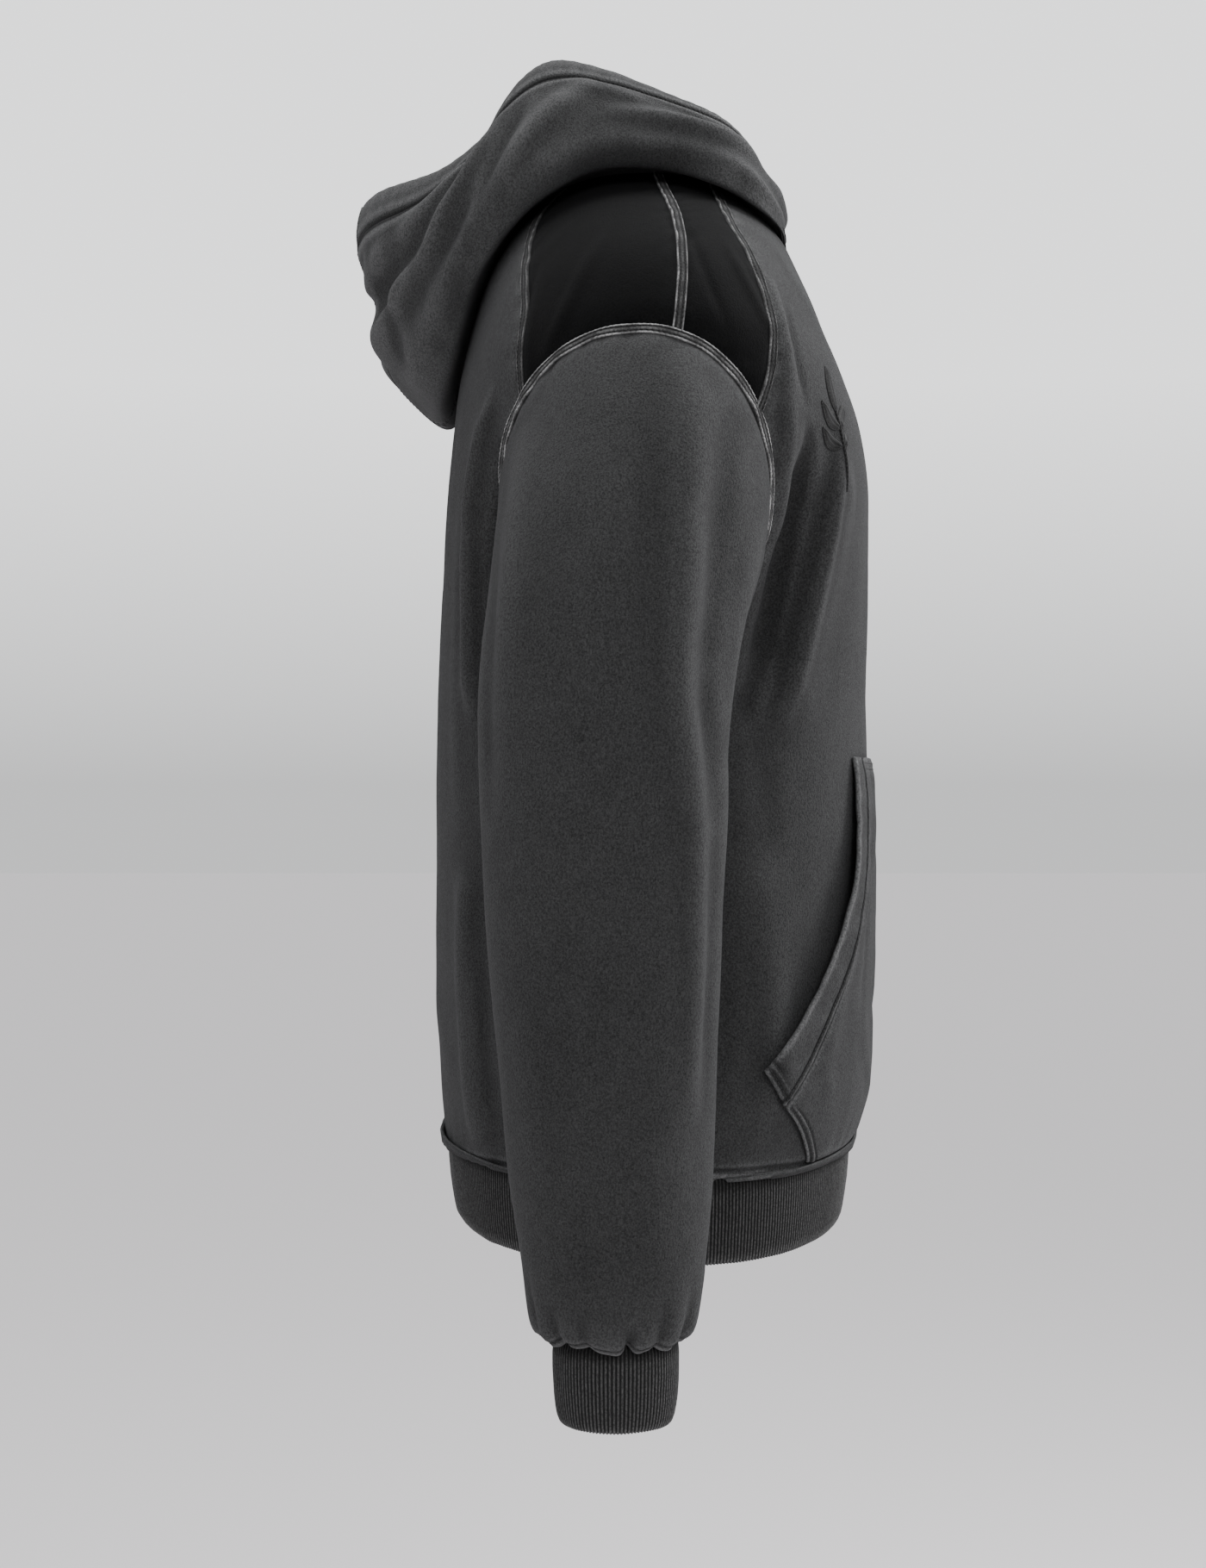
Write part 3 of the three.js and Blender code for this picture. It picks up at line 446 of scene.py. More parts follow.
def edge_distance(points, closed=False):
    """Millimetres from each point to the sheet's left, right, lower and upper edges."""
    rows = np.linalg.norm(np.diff(points, axis=0), axis=-1)
    rise = np.concatenate([np.zeros((1, points.shape[1])), np.cumsum(rows, axis=0)])
    if closed:
        far = np.full(points.shape[:2], 1e4)
        return far, far, rise, rise[-1] - rise
    columns = np.linalg.norm(np.diff(points, axis=1), axis=-1)
    run = np.concatenate([np.zeros((points.shape[0], 1)), np.cumsum(columns, axis=1)], axis=1)
    return run, run[:, -1:] - run, rise, rise[-1] - rise


def curve_of(points, normals, closed=False):
    """How much each point stands above the points two steps away: positive on ridges."""
    def shifted(step, axis):
        if axis == 1 and closed:
            return np.roll(points, step, axis=1)
        index = np.clip(np.arange(points.shape[axis]) - step, 0, points.shape[axis] - 1)
        return np.take(points, index, axis=axis)
    around = sum(shifted(step, axis) for step in (-2, 2) for axis in (0, 1)) / 4
    return np.sum((points - around) * normals, axis=-1)


def quads(grid):
    """The four-sided faces of a grid of point numbers."""
    return np.stack([grid[:-1, :-1], grid[:-1, 1:], grid[1:, 1:], grid[1:, :-1]], axis=-1).reshape(-1, 4)


def wall(name, points, normals, thickness, wear, closed=False):
    """A closed wall mesh: the sheet, the same sheet moved in, and rounded edges between them."""
    rows, columns = points.shape[:2]
    row, column = rows // 2, columns // 2
    corner = points[row, column]
    faces_out = np.cross(points[row, column + 1] - corner, points[row + 1, column] - corner)
    if np.sum(faces_out * normals[row, column]) < 0:
        points, normals, wear = points[::-1], normals[::-1], wear[::-1]
    count = rows * columns
    grid = np.arange(count).reshape(rows, columns)
    if closed:
        grid = np.concatenate([grid, grid[:, :1]], axis=1)
        loops = [grid[0], grid[-1][::-1]]
    else:
        loops = [np.concatenate([grid[0], grid[1:, -1], grid[-1, ::-1][1:], grid[::-1, 0][1:]])]
    outer = points.reshape(-1, 3)
    inner = (points - normals * thickness).reshape(-1, 3)
    vertices = [outer, inner]
    wear_and_shading_parts = [wear.reshape(-1), np.zeros(count)]
    faces = [quads(grid), quads(grid)[:, [0, 3, 2, 1]] + count]
    total = count * 2
    for loop in loops:
        ring = loop[:-1]
        tangent = np.roll(outer[ring], -1, axis=0) - np.roll(outer[ring], 1, axis=0)
        outwards = unit(np.cross(tangent, normals.reshape(-1, 3)[ring]))
        edge = total + np.arange(len(ring))
        vertices.append((outer[ring] + inner[ring]) / 2 + outwards * thickness * EDGE_ROUNDING)
        wear_and_shading_parts.append(wear_and_shading_parts[0][ring])
        next_ring, next_edge = np.roll(ring, -1), np.roll(edge, -1)
        faces.append(np.stack([ring, edge, next_edge, next_ring], axis=-1))
        faces.append(np.stack([edge, ring + count, next_ring + count, next_edge], axis=-1))
        total += len(ring)
    mesh_object(name, np.vstack(vertices), np.vstack(faces).tolist(), np.concatenate(wear_and_shading_parts))


def mesh_object(name, vertices, faces, wear):
    """Above zero the cloth is paler: abraded along edges and seams, with painted highlight on ridges; below
    zero it is darker with painted shade in creases, grooves and seam gaps.
    """
    mesh = bpy.data.meshes.new(name)
    mesh.from_pydata((vertices * MM).tolist(), [], faces)
    layer = mesh.attributes.new("wear", "FLOAT", "POINT")
    layer.data.foreach_set("value", np.clip(wear, -1, 1).astype(np.float32))
    mesh.update()
    mesh.shade_smooth()
    bpy.context.scene.collection.objects.link(bpy.data.objects.new(name, mesh))


def blurred(values, passes, closed=False):
    """Each row mixed with its neighbours, again and again; an open sheet keeps its end rows."""
    result = values.copy()
    for _ in range(passes):
        if closed:
            result = (np.roll(result, 1, axis=0) + 2 * result + np.roll(result, -1, axis=0)) / 4
        else:
            result[1:-1] = (result[:-2] + 2 * result[1:-1] + result[2:]) / 4
    return result


def mirrored(points):
    return points * np.array([-1.0, 1.0, 1.0])


# ---------- relief, wear and painted highlight and shade of washed cloth, shared by the panels ---
def seam_pull(distances, depth=1.3, width=4.5):
    """The cloth dips towards a sewn edge."""
    return -depth * bump(np.minimum.reduce(distances), 0, width)


def seam_wear(distances, reach):
    return fade(np.minimum.reduce(distances), reach)


def pucker(distance, along, seed, height=0.55, reach=11.0):
    """Small uneven puckers that run away from a stitched edge and fade out."""
    wave = (np.sin(along / 3.1 + 1.7 * np.sin(along / 17.0 + seed)) * 0.6
            + np.sin(along / 5.3 + seed * 2.1) * 0.4)
    return height * wave * fade(distance, reach, 1.5) * smooth(distance, 0.0, 2.5)


def relief(points, seed, height=1.0):
    """Slow unevenness of hanging fleece."""
    return height * (0.9 * lumps(points * [1, 1, 0.5], 60.0, 2, seed)
                     + 0.10 * lumps(points * [1, 1, 0.8], 13.0, 2, seed + 3.1))


def hem_ridge(distance):
    """Lift of the turned seam allowance along a lower edge and of its stitch groove, and how pale or dark
    each place is painted: the folded edge abraded paler, painted shade in the groove, painted highlight on
    the ridge above it.
    """
    lift = 0.8 * bump(distance, 2.4, 1.8) - 0.6 * bump(distance, HEM_STITCH, 1.2)
    wear = (0.75 * bump(distance, 1.4, 1.5) - 0.55 * bump(distance, HEM_STITCH, 0.8)
            + 0.20 * bump(distance, HEM_STITCH + 2.6, 1.3))
    return lift, wear


def fleece_sheet(points, outward, seed, creases, closed=False, height=1.0, sides=(1, 1, 1, 1), hem=True):
    """Moves a base sheet by its creases, unevenness and seams; gives its points, normals and paleness,
    which is abrasion along seams and hems with painted highlight on ridges and painted shade in creases and
    grooves.

    sides says which of the left, right, lower and upper edges are sewn.
    """
    normals = facing(points, outward, closed)
    distances = edge_distance(points, closed)
    lift = creases + relief(points, seed, height)
    edge_lift, edge_wear_and_shading = hem_ridge(distances[2]) if hem else (0.0, 0.0)
    lift = lift + edge_lift
    sewn = [distance for distance, use in zip(distances, sides) if use]
    lift = lift + seam_pull(sewn)
    for k, (distance, use) in enumerate(zip(distances, sides)):
        if use:
            run = points[..., 2] if k < 2 else points[..., 0] + points[..., 1]
            lift = lift + pucker(distance, run, seed + k)
    shaped = points + normals * lift[..., None]
    new_normals = facing(shaped, outward, closed)
    # Crease ridges get painted highlight and crease hollows painted shade; the hem adds its abraded edge
    # and the painted shade of its stitch groove; the sewn edges are abraded paler.
    wear = np.clip(curve_of(shaped, new_normals, closed) * 0.25, -0.2, 0.12) + edge_wear_and_shading
    wear = wear + 0.45 * seam_wear(sewn, 6.0) * (0.55 + 0.6 * lumps(shaped, 9.0, 2, seed + 9))
    return shaped, new_normals, wear


def inset(points, closed=False):
    """Draws the sheet's edges in by half the gap, so that sewn pieces stay apart."""
    result = points.copy()

    def drawn(edge, following):
        return edge + unit(following - edge) * GAP / 2

    result[0] = drawn(points[0], points[1])
    result[-1] = drawn(points[-1], points[-2])
    if not closed:
        result[:, 0] = drawn(result[:, 0], result[:, 1])
        result[:, -1] = drawn(result[:, -1], result[:, -2])
    return result


# ---------- edges that neighbouring pieces share ----------
HALF_COLUMNS = 70           # centre line to side
ROWS_BELOW = 74             # hem seam to underarm
HEM_ROWS, HEM_ROWS_HIGH = 16, 15.0    # closer rows where the hem is turned and stitched
FRONT_HOLE = 40             # underarm to the front insert, along the armhole
BACK_HOLE = 44
INSERT_RUN = 64             # armhole to neck, along an insert's edge
FRONT_TIP = 30              # the front insert's end, along the armhole
BACK_TIP = 40
SIDES = (("right", 1.0), ("left", -1.0))


def places_from_side(rows):
    return [(float(turn_at(y, z)), z) for z, y in rows]


def to_neck(hole_turn, rows, neck_turn):
    """An edge from the armhole, through places seen from the side, to the neck."""
    neck = (neck_turn, float(neck_level(neck_turn)))
    return route([armhole(hole_turn), *places_from_side(rows), neck], INSERT_RUN)


front_insert_edge = to_neck(FRONT_INSERT_TURN, FRONT_INSERT_EDGE, -FRONT_NECK_TURN)
back_insert_edge = to_neck(-BACK_INSERT_TURN, BACK_INSERT_EDGE, BACK_NECK_TURN)
shoulder_seam = to_neck(SHOULDER_TURN, SHOULDER_SEAM, SHOULDER_NECK_TURN)


def hole(start, end, steps):
    return armhole(np.linspace(start, end, steps + 1))


def neck_run(start, end, steps):
    turns = np.linspace(start, end, steps + 1)
    return np.stack([turns, neck_level(turns)], axis=-1)


def body_half_places(centre, hole_run, insert_edge, neck_turn):
    """Half of a body panel, from its centre line to its side, as (turn, z) places."""
    dense = HEM_ROWS_HIGH / (UNDERARM_Z - HEM_Z)
    share = np.concatenate([np.linspace(0, dense, HEM_ROWS + 1)[:-1],
                            np.linspace(dense, 1, ROWS_BELOW - HEM_ROWS + 1)])
    side_z = hem_level(0.0) * (1 - share) + UNDERARM_Z * share
    side_turn = hole_run[0, 0] * smooth(side_z, UNDERARM_Z - 60, UNDERARM_Z)
    right = np.vstack([np.stack([side_turn, side_z], axis=-1), hole_run[1:], insert_edge[1:]])
    turns = np.linspace(centre, 0, HALF_COLUMNS + 1)
    bottom = np.stack([turns, hem_level(turns)], axis=-1)
    level_share = np.linspace(0, 1, len(right))
    centre_high = float(neck_level(centre))
    even = HEM_Z * (1 - level_share) + centre_high * level_share
    levels = right[:, 1] * 0.75 + even * 0.25
    levels[0] = HEM_Z
    levels[-1] = centre_high
    left = np.stack([np.full(len(right), float(centre)), levels], axis=-1)
    return patch(bottom, neck_run(centre, neck_turn, HALF_COLUMNS), left, right)


front_places = body_half_places(-90, hole(180, FRONT_INSERT_TURN, FRONT_HOLE), front_insert_edge,
                                -FRONT_NECK_TURN)
back_places = body_half_places(90, hole(-180, -BACK_INSERT_TURN, BACK_HOLE), back_insert_edge,
                               BACK_NECK_TURN)


def eased(creases, side):
    """The left side's creases: the same kinds in other lengths and depths."""
    if side > 0:
        return creases
    changed = []
    for k, (turn_a, z_a, turn_b, z_b, width, height) in enumerate(creases):
        drift = 3.0 * math.sin(k * 2.3 + 1)
        slip = 16.0 * math.sin(k * 1.7)
        changed.append((turn_a + drift, z_a + slip, turn_b - drift * 0.6, z_b + slip * 0.5,
                        width * (1 + 0.2 * math.sin(k)), height * (0.8 + 0.3 * math.cos(k * 1.3))))
    return changed


def body_creases(turn, z, side):
    creases = eased(BODY_CREASES, side)
    return CREASE_GAIN * crease_field(turn, z, creases, body("half_width", z), (0.08, 0.92))


def join_halves(right, left):
    return np.concatenate([left[:, :0:-1], right], axis=1)


def make_body(name, places, outward, seed):
    turn, z = places[..., 0], places[..., 1]
    points = inset(join_halves(body_points(turn, z, 1.0), body_points(turn, z, -1.0)))
    creases = join_halves(body_creases(turn, z, 1.0), body_creases(turn, z, -1.0))
    shaped, normals, wear = fleece_sheet(points, outward, seed, creases)
    wall(name, shaped, normals, CLOTH, wear)
    return shaped, normals


FORWARD = np.array([0.0, -1.0, 0.0])
front_points, front_normals = make_body("cloth_front_body", front_places, FORWARD, FRONT_SEED)
back_points, back_normals = make_body("cloth_back_body", back_places, -FORWARD, 5.9)


# ---------- shoulder inserts ----------
INSERT_CREASES = [
    (-20, -70, -34, -150, 10, 1.2),
    (-8, -60, -16, -128, 9, -0.9),
    (14, -60, 30, -150, 12, 1.3),
    (36, -70, 40, -140, 9, -1.0),
    (26, -50, 48, -100, 10, 0.9),
]
INSERT_MIDDLE = np.array([0, 0, -160.0])    # the inserts face away from here


def make_insert(name, places, side, seed):
    turn, z = places[..., 0], places[..., 1]
    points = inset(body_points(turn, z, side))
    creases = crease_field(turn, z, eased(INSERT_CREASES, side), body("half_width", z))
    shaped, normals, wear = fleece_sheet(points, points - INSERT_MIDDLE, seed, creases,
                                         height=0.6, hem=False)
    wall(name, shaped, normals, CLOTH, wear * 0.8)
    return shaped, normals


front_insert_places = patch(front_insert_edge, shoulder_seam,
                            hole(FRONT_INSERT_TURN, SHOULDER_TURN, FRONT_TIP),
                            neck_run(-FRONT_NECK_TURN, SHOULDER_NECK_TURN, FRONT_TIP))
back_insert_places = patch(back_insert_edge, shoulder_seam,
                           hole(-BACK_INSERT_TURN, SHOULDER_TURN, BACK_TIP),
                           neck_run(BACK_NECK_TURN, SHOULDER_NECK_TURN, BACK_TIP))
inserts = {}
for side_name, side in SIDES:
    for part, places, seed in (("front", front_insert_places, 2.2), ("back", back_insert_places, 3.4)):
        inserts[part, side_name] = make_insert(f"cloth_{part}_insert_{side_name}", places, side, seed)


# ---------- sleeves ----------
SLEEVE_COUNT = 142          # points round the sleeve
CAP_STEPS = 54              # armhole to the level sections
LENGTH_STEPS = 84           # level sections to the cuff
SLEEVE_POWER = 0.9          # roundness of a section, 1 is an ellipse
SLEEVE_RADIUS = 60.0        # turns degrees round the sleeve into millimetres
CUFF_OVERHANG = 2.8         # how far the gathered end hangs below its seam
OVERHANG_WAVE = 1.7


def sleeve_section(turn, z):
    """Points of a level section; turn is in degrees, 0 outside and 90 to the front."""
    centre_x, centre_y, half_x, half_y = (read(SLEEVE_SECTIONS, SLEEVE_COLUMNS, z, column)
                                          for column in SLEEVE_COLUMNS[1:])
    angle = np.radians(turn)
    x = centre_x - half_x * signed_power(np.cos(angle), SLEEVE_POWER)
    y = centre_y - half_y * signed_power(np.sin(angle), SLEEVE_POWER)
    return np.stack([x, y, z], axis=-1)


def cap_points(turn, share):
    """From the armhole, out over the shoulder, and down into the level sections."""
    places = armhole(turn)
    start = body_points(places[..., 0], places[..., 1])
    end = sleeve_section(turn, np.full_like(turn, CAP_END_Z))
    reach = np.linalg.norm(end - start, axis=-1, keepdims=True)
    top = 0.5 + 0.5 * np.cos(np.radians(turn))
    leave = np.stack([-CAP_FLARE * top, np.zeros_like(top), -np.ones_like(top)], axis=-1)
    return hermite(share[..., None], start, unit(leave) * reach, end, np.array([0, 0, -1.0]) * reach)


sleeve_turns = np.linspace(SHOULDER_TURN, SHOULDER_TURN + 360, SLEEVE_COUNT + 1)[:-1]
step_share = np.linspace(0, 1, LENGTH_STEPS + 1)
sleeve_levels = CUFF_SEAM_Z + (CAP_END_Z - CUFF_SEAM_Z) * (0.35 * step_share + 0.65 * step_share ** 1.8)
turn_grid, level_grid = np.meshgrid(sleeve_turns, sleeve_levels)
lower_sleeve = sleeve_section(turn_grid, level_grid)
turn_cap, share_cap = np.meshgrid(sleeve_turns, np.linspace(1, 0, CAP_STEPS + 1)[1:])
upper_sleeve = cap_points(turn_cap, share_cap)
sleeve_base = np.concatenate([lower_sleeve, upper_sleeve])
sleeve_turn_of = np.concatenate([turn_grid, turn_cap])


def overhang(side):
    """How far each point of the gathered end hangs below the seam."""
    turn = np.radians(sleeve_turn_of)
    wave = np.sin(3 * turn + 0.9 * side) * 0.6 + np.sin(7 * turn + 2.0) * 0.4
    near_cuff = smooth(-sleeve_base[..., 2], -CUFF_SEAM_Z - 24, -CUFF_SEAM_Z)
    return (CUFF_OVERHANG + OVERHANG_WAVE * wave) * near_cuff


def turn_gap(turn, centre):
    return (turn - centre + 180) % 360 - 180


def sleeve_creases(side):
    total = np.zeros(sleeve_base.shape[:2])
    z = sleeve_base[..., 2]
    for row in eased(SLEEVE_CREASES, side):
        middle = (row[0] + row[2]) / 2
        near = middle + turn_gap(sleeve_turn_of, middle)
        total += crease_field(near, z, [row], SLEEVE_RADIUS, (0.05, 0.95))
    for k, (turn, depth, width, rise) in enumerate(CUFF_PLEATS):
        if side < 0:
            turn, depth = turn + 11 * math.sin(k * 2.0), depth * (0.9 + 0.2 * math.cos(k))
        low = smooth(-z, -CUFF_SEAM_Z - rise, -CUFF_SEAM_Z - 2)
        spread = width * (1.9 - 0.9 * low)
        gap = turn_gap(sleeve_turn_of, turn)
        total -= depth * fold_shape(gap, spread) * low ** 1.4
        total += 0.16 * depth * fold_shape(np.abs(gap) - spread * 2.1, spread * 1.3) * low
    return total


sleeves = {}
for side_name, side in SIDES:
    base = inset(sleeve_base, closed=True)
    base[..., 2] -= overhang(side)
    if side < 0:
        base = mirrored(base)
    middle = base.mean(axis=1, keepdims=True)
    shaped, normals, wear = fleece_sheet(base, base - middle, 8.8 + side, sleeve_creases(side),
                                         closed=True, height=1.1, sides=(0, 0, 1, 1))
    wall(f"cloth_sleeve_{side_name}", shaped, normals, CLOTH, wear, closed=True)
    sleeves[side_name] = (shaped, normals)


# ---------- rib knit ----------
RIB_POINTS = 4              # points across one rib
RIB_RAISE = 0.8
RIB_WALL = 2.6
RIB_PITCH = 2.1             # real pitch of the rib knit round the hem
CUFF_PITCH = 2.27
RING_TURNS = np.linspace(0, 360, 241)[:-1]
CUFF_CENTRE = np.array([-258.0, 24.0])
CUFF_HALF = np.array([36.0, 34.5])
# Rows of a rib: millimetres below its seam, and how far it is drawn in there.
CUFF_LEVELS = [(-5.0, 4.6), (-1.5, 3.0), (1.0, 1.2), (4.0, 0.2), (9.0, -0.2), (17.0, -0.2), (25.0, 0.2),
               (32.0, 0.7), (38.0, 1.4), (42.5, 2.3), (45.5, 3.4), (47.0, 5.0)]
HEM_LEVELS = [(-5.0, 5.4), (-1.0, 4.4), (1.2, 3.0), (4.0, 2.2), (10.0, 2.0), (18.0, 2.4), (27.0, 3.4),
              (36.0, 4.6), (43.0, 5.8), (47.5, 7.0), (RIB_HEIGHT, 8.8)]


def rib_ring(name, outline, middle, levels, ribs):
    """A wall with upright ribs round a closed outline."""
    ring = spaced(np.vstack([outline, outline[:1]]), ribs * RIB_POINTS)[:-1]
    reach = np.linalg.norm(ring[:, :2] - middle, axis=-1, keepdims=True)
    rows = []
    for down, drawn_in in levels:
        row = ring.copy()
        row[:, :2] = middle + (ring[:, :2] - middle) * (1 - drawn_in / reach)
        row[:, 2] -= down
        rows.append(row)
    points = np.array(rows[::-1])
    outward = points - np.array([*middle, 0.0])
    outward[..., 2] = 0
    normals = facing(points, outward, True)
    profile = np.abs(np.sin(np.pi * np.arange(len(ring)) / RIB_POINTS))[None, :] ** 0.7
    slack = 0.25 * lumps(points, 16.0, 2, 4.4)
    shaped = points + normals * (RIB_RAISE * (profile - 1) + slack)[..., None]
    # Painted highlight on the rib crests and painted shade between them; the folded lower edge abraded
    # paler; painted shade on the top rows, under the cloth that hangs over the seam.
    wear = np.repeat(1.2 * profile - 0.75, len(rows), axis=0)
    wear[:2] += 0.25
    wear[-4:] -= 0.3
    wall(name, shaped, normals, RIB_WALL, wear, closed=True)


for side_name, side in SIDES:
    centre = CUFF_CENTRE * [side, 1.0]
    angle = np.radians(RING_TURNS)
    outline = np.stack([centre[0] - CUFF_HALF[0] * np.cos(angle), centre[1] - CUFF_HALF[1] * np.sin(angle),
                        np.full_like(angle, CUFF_SEAM_Z - GAP)], axis=-1)
    around = 2 * math.pi * CUFF_HALF.mean()
    rib_ring(f"knit_cuff_{side_name}", outline, centre, CUFF_LEVELS, round(around / CUFF_PITCH))

quarter = np.degrees(np.arcsin(np.clip(np.sin(np.radians(RING_TURNS)), -1, 1)))
hem_outline = body_points(-quarter, np.full_like(quarter, HEM_Z))
hem_outline[:, 0] *= np.where(np.cos(np.radians(RING_TURNS)) < 0, -1, 1)
hem_outline[:, 2] = hem_level(quarter) - GAP
hem_around = np.linalg.norm(np.diff(hem_outline, axis=0), axis=-1).sum()
rib_ring("knit_hem_rib", hem_outline, np.zeros(2), HEM_LEVELS, round(hem_around / RIB_PITCH))


# ---------- hood ----------
HOOD_ACROSS = 150           # centre back to centre front
UNDER_STEPS = 26            # neck seam to the fold over the shoulder
WALL_STEPS = 66             # fold to rim
FOLD_SOFTENING = 14         # passes that round off the fold
HOOD_RIM_SHARE = 5 / 6      # the rim hem starts here, as a share of the wall
# Creases as (place along the hood, height on the wall) to (place, height), width, raise in mm.
HOOD_CREASES = [
    (0.05, 0.40, 0.20, 0.56, 12, 3.0),
    (0.20, 0.56, 0.44, 0.52, 13, 3.6),
    (0.08, 0.66, 0.36, 0.72, 10, -2.2),
    (0.10, 0.14, 0.30, 0.30, 12, 1.8),
    (0.46, 0.74, 0.60, 0.30, 15, 3.2),
    (0.56, 0.70, 0.66, 0.34, 14, -2.6),
    (0.62, 0.72, 0.80, 0.52, 12, 4.2),
    (0.80, 0.52, 0.97, 0.30, 14, 4.2),
    (0.66, 0.44, 0.88, 0.30, 13, -3.0),
    (0.70, 0.80, 0.86, 0.70, 10, 3.2),
    (0.86, 0.70, 0.99, 0.56, 11, 3.2),
    (0.76, 0.62, 0.95, 0.46, 10, -3.2),
    (0.94, 0.74, 0.95, 0.24, 11, 3.0),
    (0.88, 0.50, 0.90, 0.16, 12, -2.4),
    (0.30, 0.26, 0.58, 0.16, 16, 2.4),
    (0.70, 0.20, 0.96, 0.10, 14, 2.4),
    (0.38, 0.70, 0.50, 0.76, 10, 2.0),
]
RIM_CURL = 4.0              # the folded rim rolls in by this much
RIM_CURL_SHARE = 0.09       # over this share of the wall
HOOD_CREASE_GAIN = 1.6
HOOD_LENGTH = 520.0         # millimetres along the hood that one whole stands for
HOOD_HEIGHT = 125.0         # millimetres up its wall that one whole stands for, among creases
RIM_HEIGHT = 110.0          # the same near the rim
# Slow waves of the wall at the back: height on the wall, its spread, millimetres out.
BACK_WAVES = [(0.24, 0.15, 7.5), (0.56, 0.08, -6.5), (0.80, 0.11, 3.5)]


def hood_column(at, column):
    return read(HOOD_SECTIONS, HOOD_COLUMNS, at, column)


def hood_base(at, rows):
    """Points out from the neck seam over the shoulder (rows 0 to 1), then up the wall (1 to 2)."""
    turn = np.where(at <= 0, -90.0, np.where(at >= 1, 90.0, hood_column(at, "fold_turn")))
    fold_z = hood_column(at, "fold_z")
    under = np.clip(rows, 0, 1)
    z = (neck_level(turn) - HOOD_NECK_LAP) * (1 - under) + fold_z * under
    off = HOOD_NECK_LIFT + (hood_column(at, "fold_off") - HOOD_NECK_LIFT) * np.sqrt(under)
    normal = body_normals(turn, z, 1.0, 1.0)
    normal[..., 0] = np.where(np.abs(turn) >= 90, 0, normal[..., 0])
    fold = body_points(turn, z) + unit(normal) * off[..., None]
    up = np.clip(rows - 1, 0, 1)
    rim = np.stack([np.where((at <= 0) | (at >= 1), 0, hood_column(at, "rim_x")),
                    hood_column(at, "rim_y"), hood_column(at, "rim_z")], axis=-1)
    outward = (fold + rim) / 2 - np.array([0, HOOD_MIDDLE_Y, 0])
    outward[..., 2] = 0
    curl = RIM_CURL * (np.clip(up - 1 + RIM_CURL_SHARE, 0, 1) / RIM_CURL_SHARE) ** 2.5
    full = hood_column(at, "bulge") * np.sin(np.pi * up ** 0.75) - curl
    for middle, spread, height in BACK_WAVES:
        full += height * bump(up, middle, spread) * smooth(at, 0.78, 0.95)
    on_wall = fold + (rim - fold) * up[..., None] + unit(outward) * full[..., None]
    return np.where((rows > 1)[..., None], on_wall, fold)


hood_rows = np.concatenate([np.linspace(0, 1, UNDER_STEPS + 1)[:-1], 1 + np.linspace(0, 1, WALL_STEPS + 1)])
at_grid, row_grid = np.meshgrid(np.linspace(1, 0, HOOD_ACROSS + 1), hood_rows)
hood_smooth = blurred(hood_base(at_grid, row_grid), FOLD_SOFTENING)


def hood_creases(side):
    total = np.zeros_like(at_grid)
    wall_height = np.clip(row_grid - 1, 0, 1)
    for k, (at_a, up_a, at_b, up_b, width, height) in enumerate(HOOD_CREASES):
        if side < 0:
            drift = 0.02 * math.sin(k * 2.1)
            at_a, at_b, height = at_a + drift, at_b + drift, height * (0.85 + 0.25 * math.cos(k * 1.9))
        distance, share = beside_line((at_grid - at_a) * HOOD_LENGTH, (wall_height - up_a) * HOOD_HEIGHT,
                                      (at_b - at_a) * HOOD_LENGTH, (up_b - up_a) * HOOD_HEIGHT)
        total += HOOD_CREASE_GAIN * height * crease_shape(distance, width * 1.2, share)
    return total * smooth(row_grid, 0.95, 1.1) * (1 - 0.8 * smooth(wall_height, 0.84, 0.97))


def hood_normals(points, side):
    """Outward normals, in the centre plane along the centre line, so that both halves meet."""
    normals = normals_of(points) * side
    normals[:, [0, -1], 0] = 0
    return unit(normals)


rim_row = UNDER_STEPS + round(WALL_STEPS * HOOD_RIM_SHARE)
hoods = {}
for side_name, side in SIDES:
    base = hood_smooth if side > 0 else mirrored(hood_smooth)
    normals = hood_normals(base, side)
    centre_seam = edge_distance(base)[0]
    stitch_line = np.abs(row_grid - (1 + HOOD_RIM_SHARE)) * RIM_HEIGHT
    on_rim = smooth(row_grid, 1 + HOOD_RIM_SHARE, 1 + HOOD_RIM_SHARE + 0.03)
    lift = hood_creases(side) + relief(base, 12.0 + side) + seam_pull([centre_seam], 1.2, 4.0)
    lift += 0.4 * bump(stitch_line, 5.5, 2.4) - 1.1 * bump(stitch_line, 0, 2.4)
    lift += on_rim * 0.14 * np.sin(at_grid * 230 + 5 * np.sin(at_grid * 23))
    held = smooth(at_grid, 0.0, 0.03) * smooth(1 - at_grid, 0.0, 0.004)
    shaped = base + normals * (lift * (0.25 + 0.75 * held))[..., None]
    shaped[:, [0, -1], 0] = 0
    normals = hood_normals(shaped, side)
    shaped[:, [0, -1], 0] = -side * GAP / 2
    # Painted highlight on crease ridges and painted shade in hollows; abraded paler along the centre seam
    # and the rim's edge; painted highlight on the ridge beside the rim stitching and painted shade in its
    # groove.
    wear = np.clip(curve_of(shaped, normals) * 0.55, -0.18, 0.3) + 0.5 * fade(centre_seam, 4.0)
    wear += 0.3 * fade((2 - row_grid) * RIM_HEIGHT, 4.0) + 0.25 * bump(stitch_line, 4.5, 2.0)
    wear -= bump(stitch_line, 0, 1.6)
    step = unit(shaped[rim_row + 1] - shaped[rim_row]) * GAP / 2
    panel, rim = shaped[:rim_row + 1].copy(), shaped[rim_row:].copy()
    panel[-1] -= step
    rim[0] += step
    wall(f"cloth_hood_{side_name}", panel, normals[:rim_row + 1], CLOTH, wear[:rim_row + 1])
    wall(f"cloth_hood_rim_{side_name}", rim, normals[rim_row:], FOLDED, wear[rim_row:])
    hoods[side_name] = (shaped, normals)


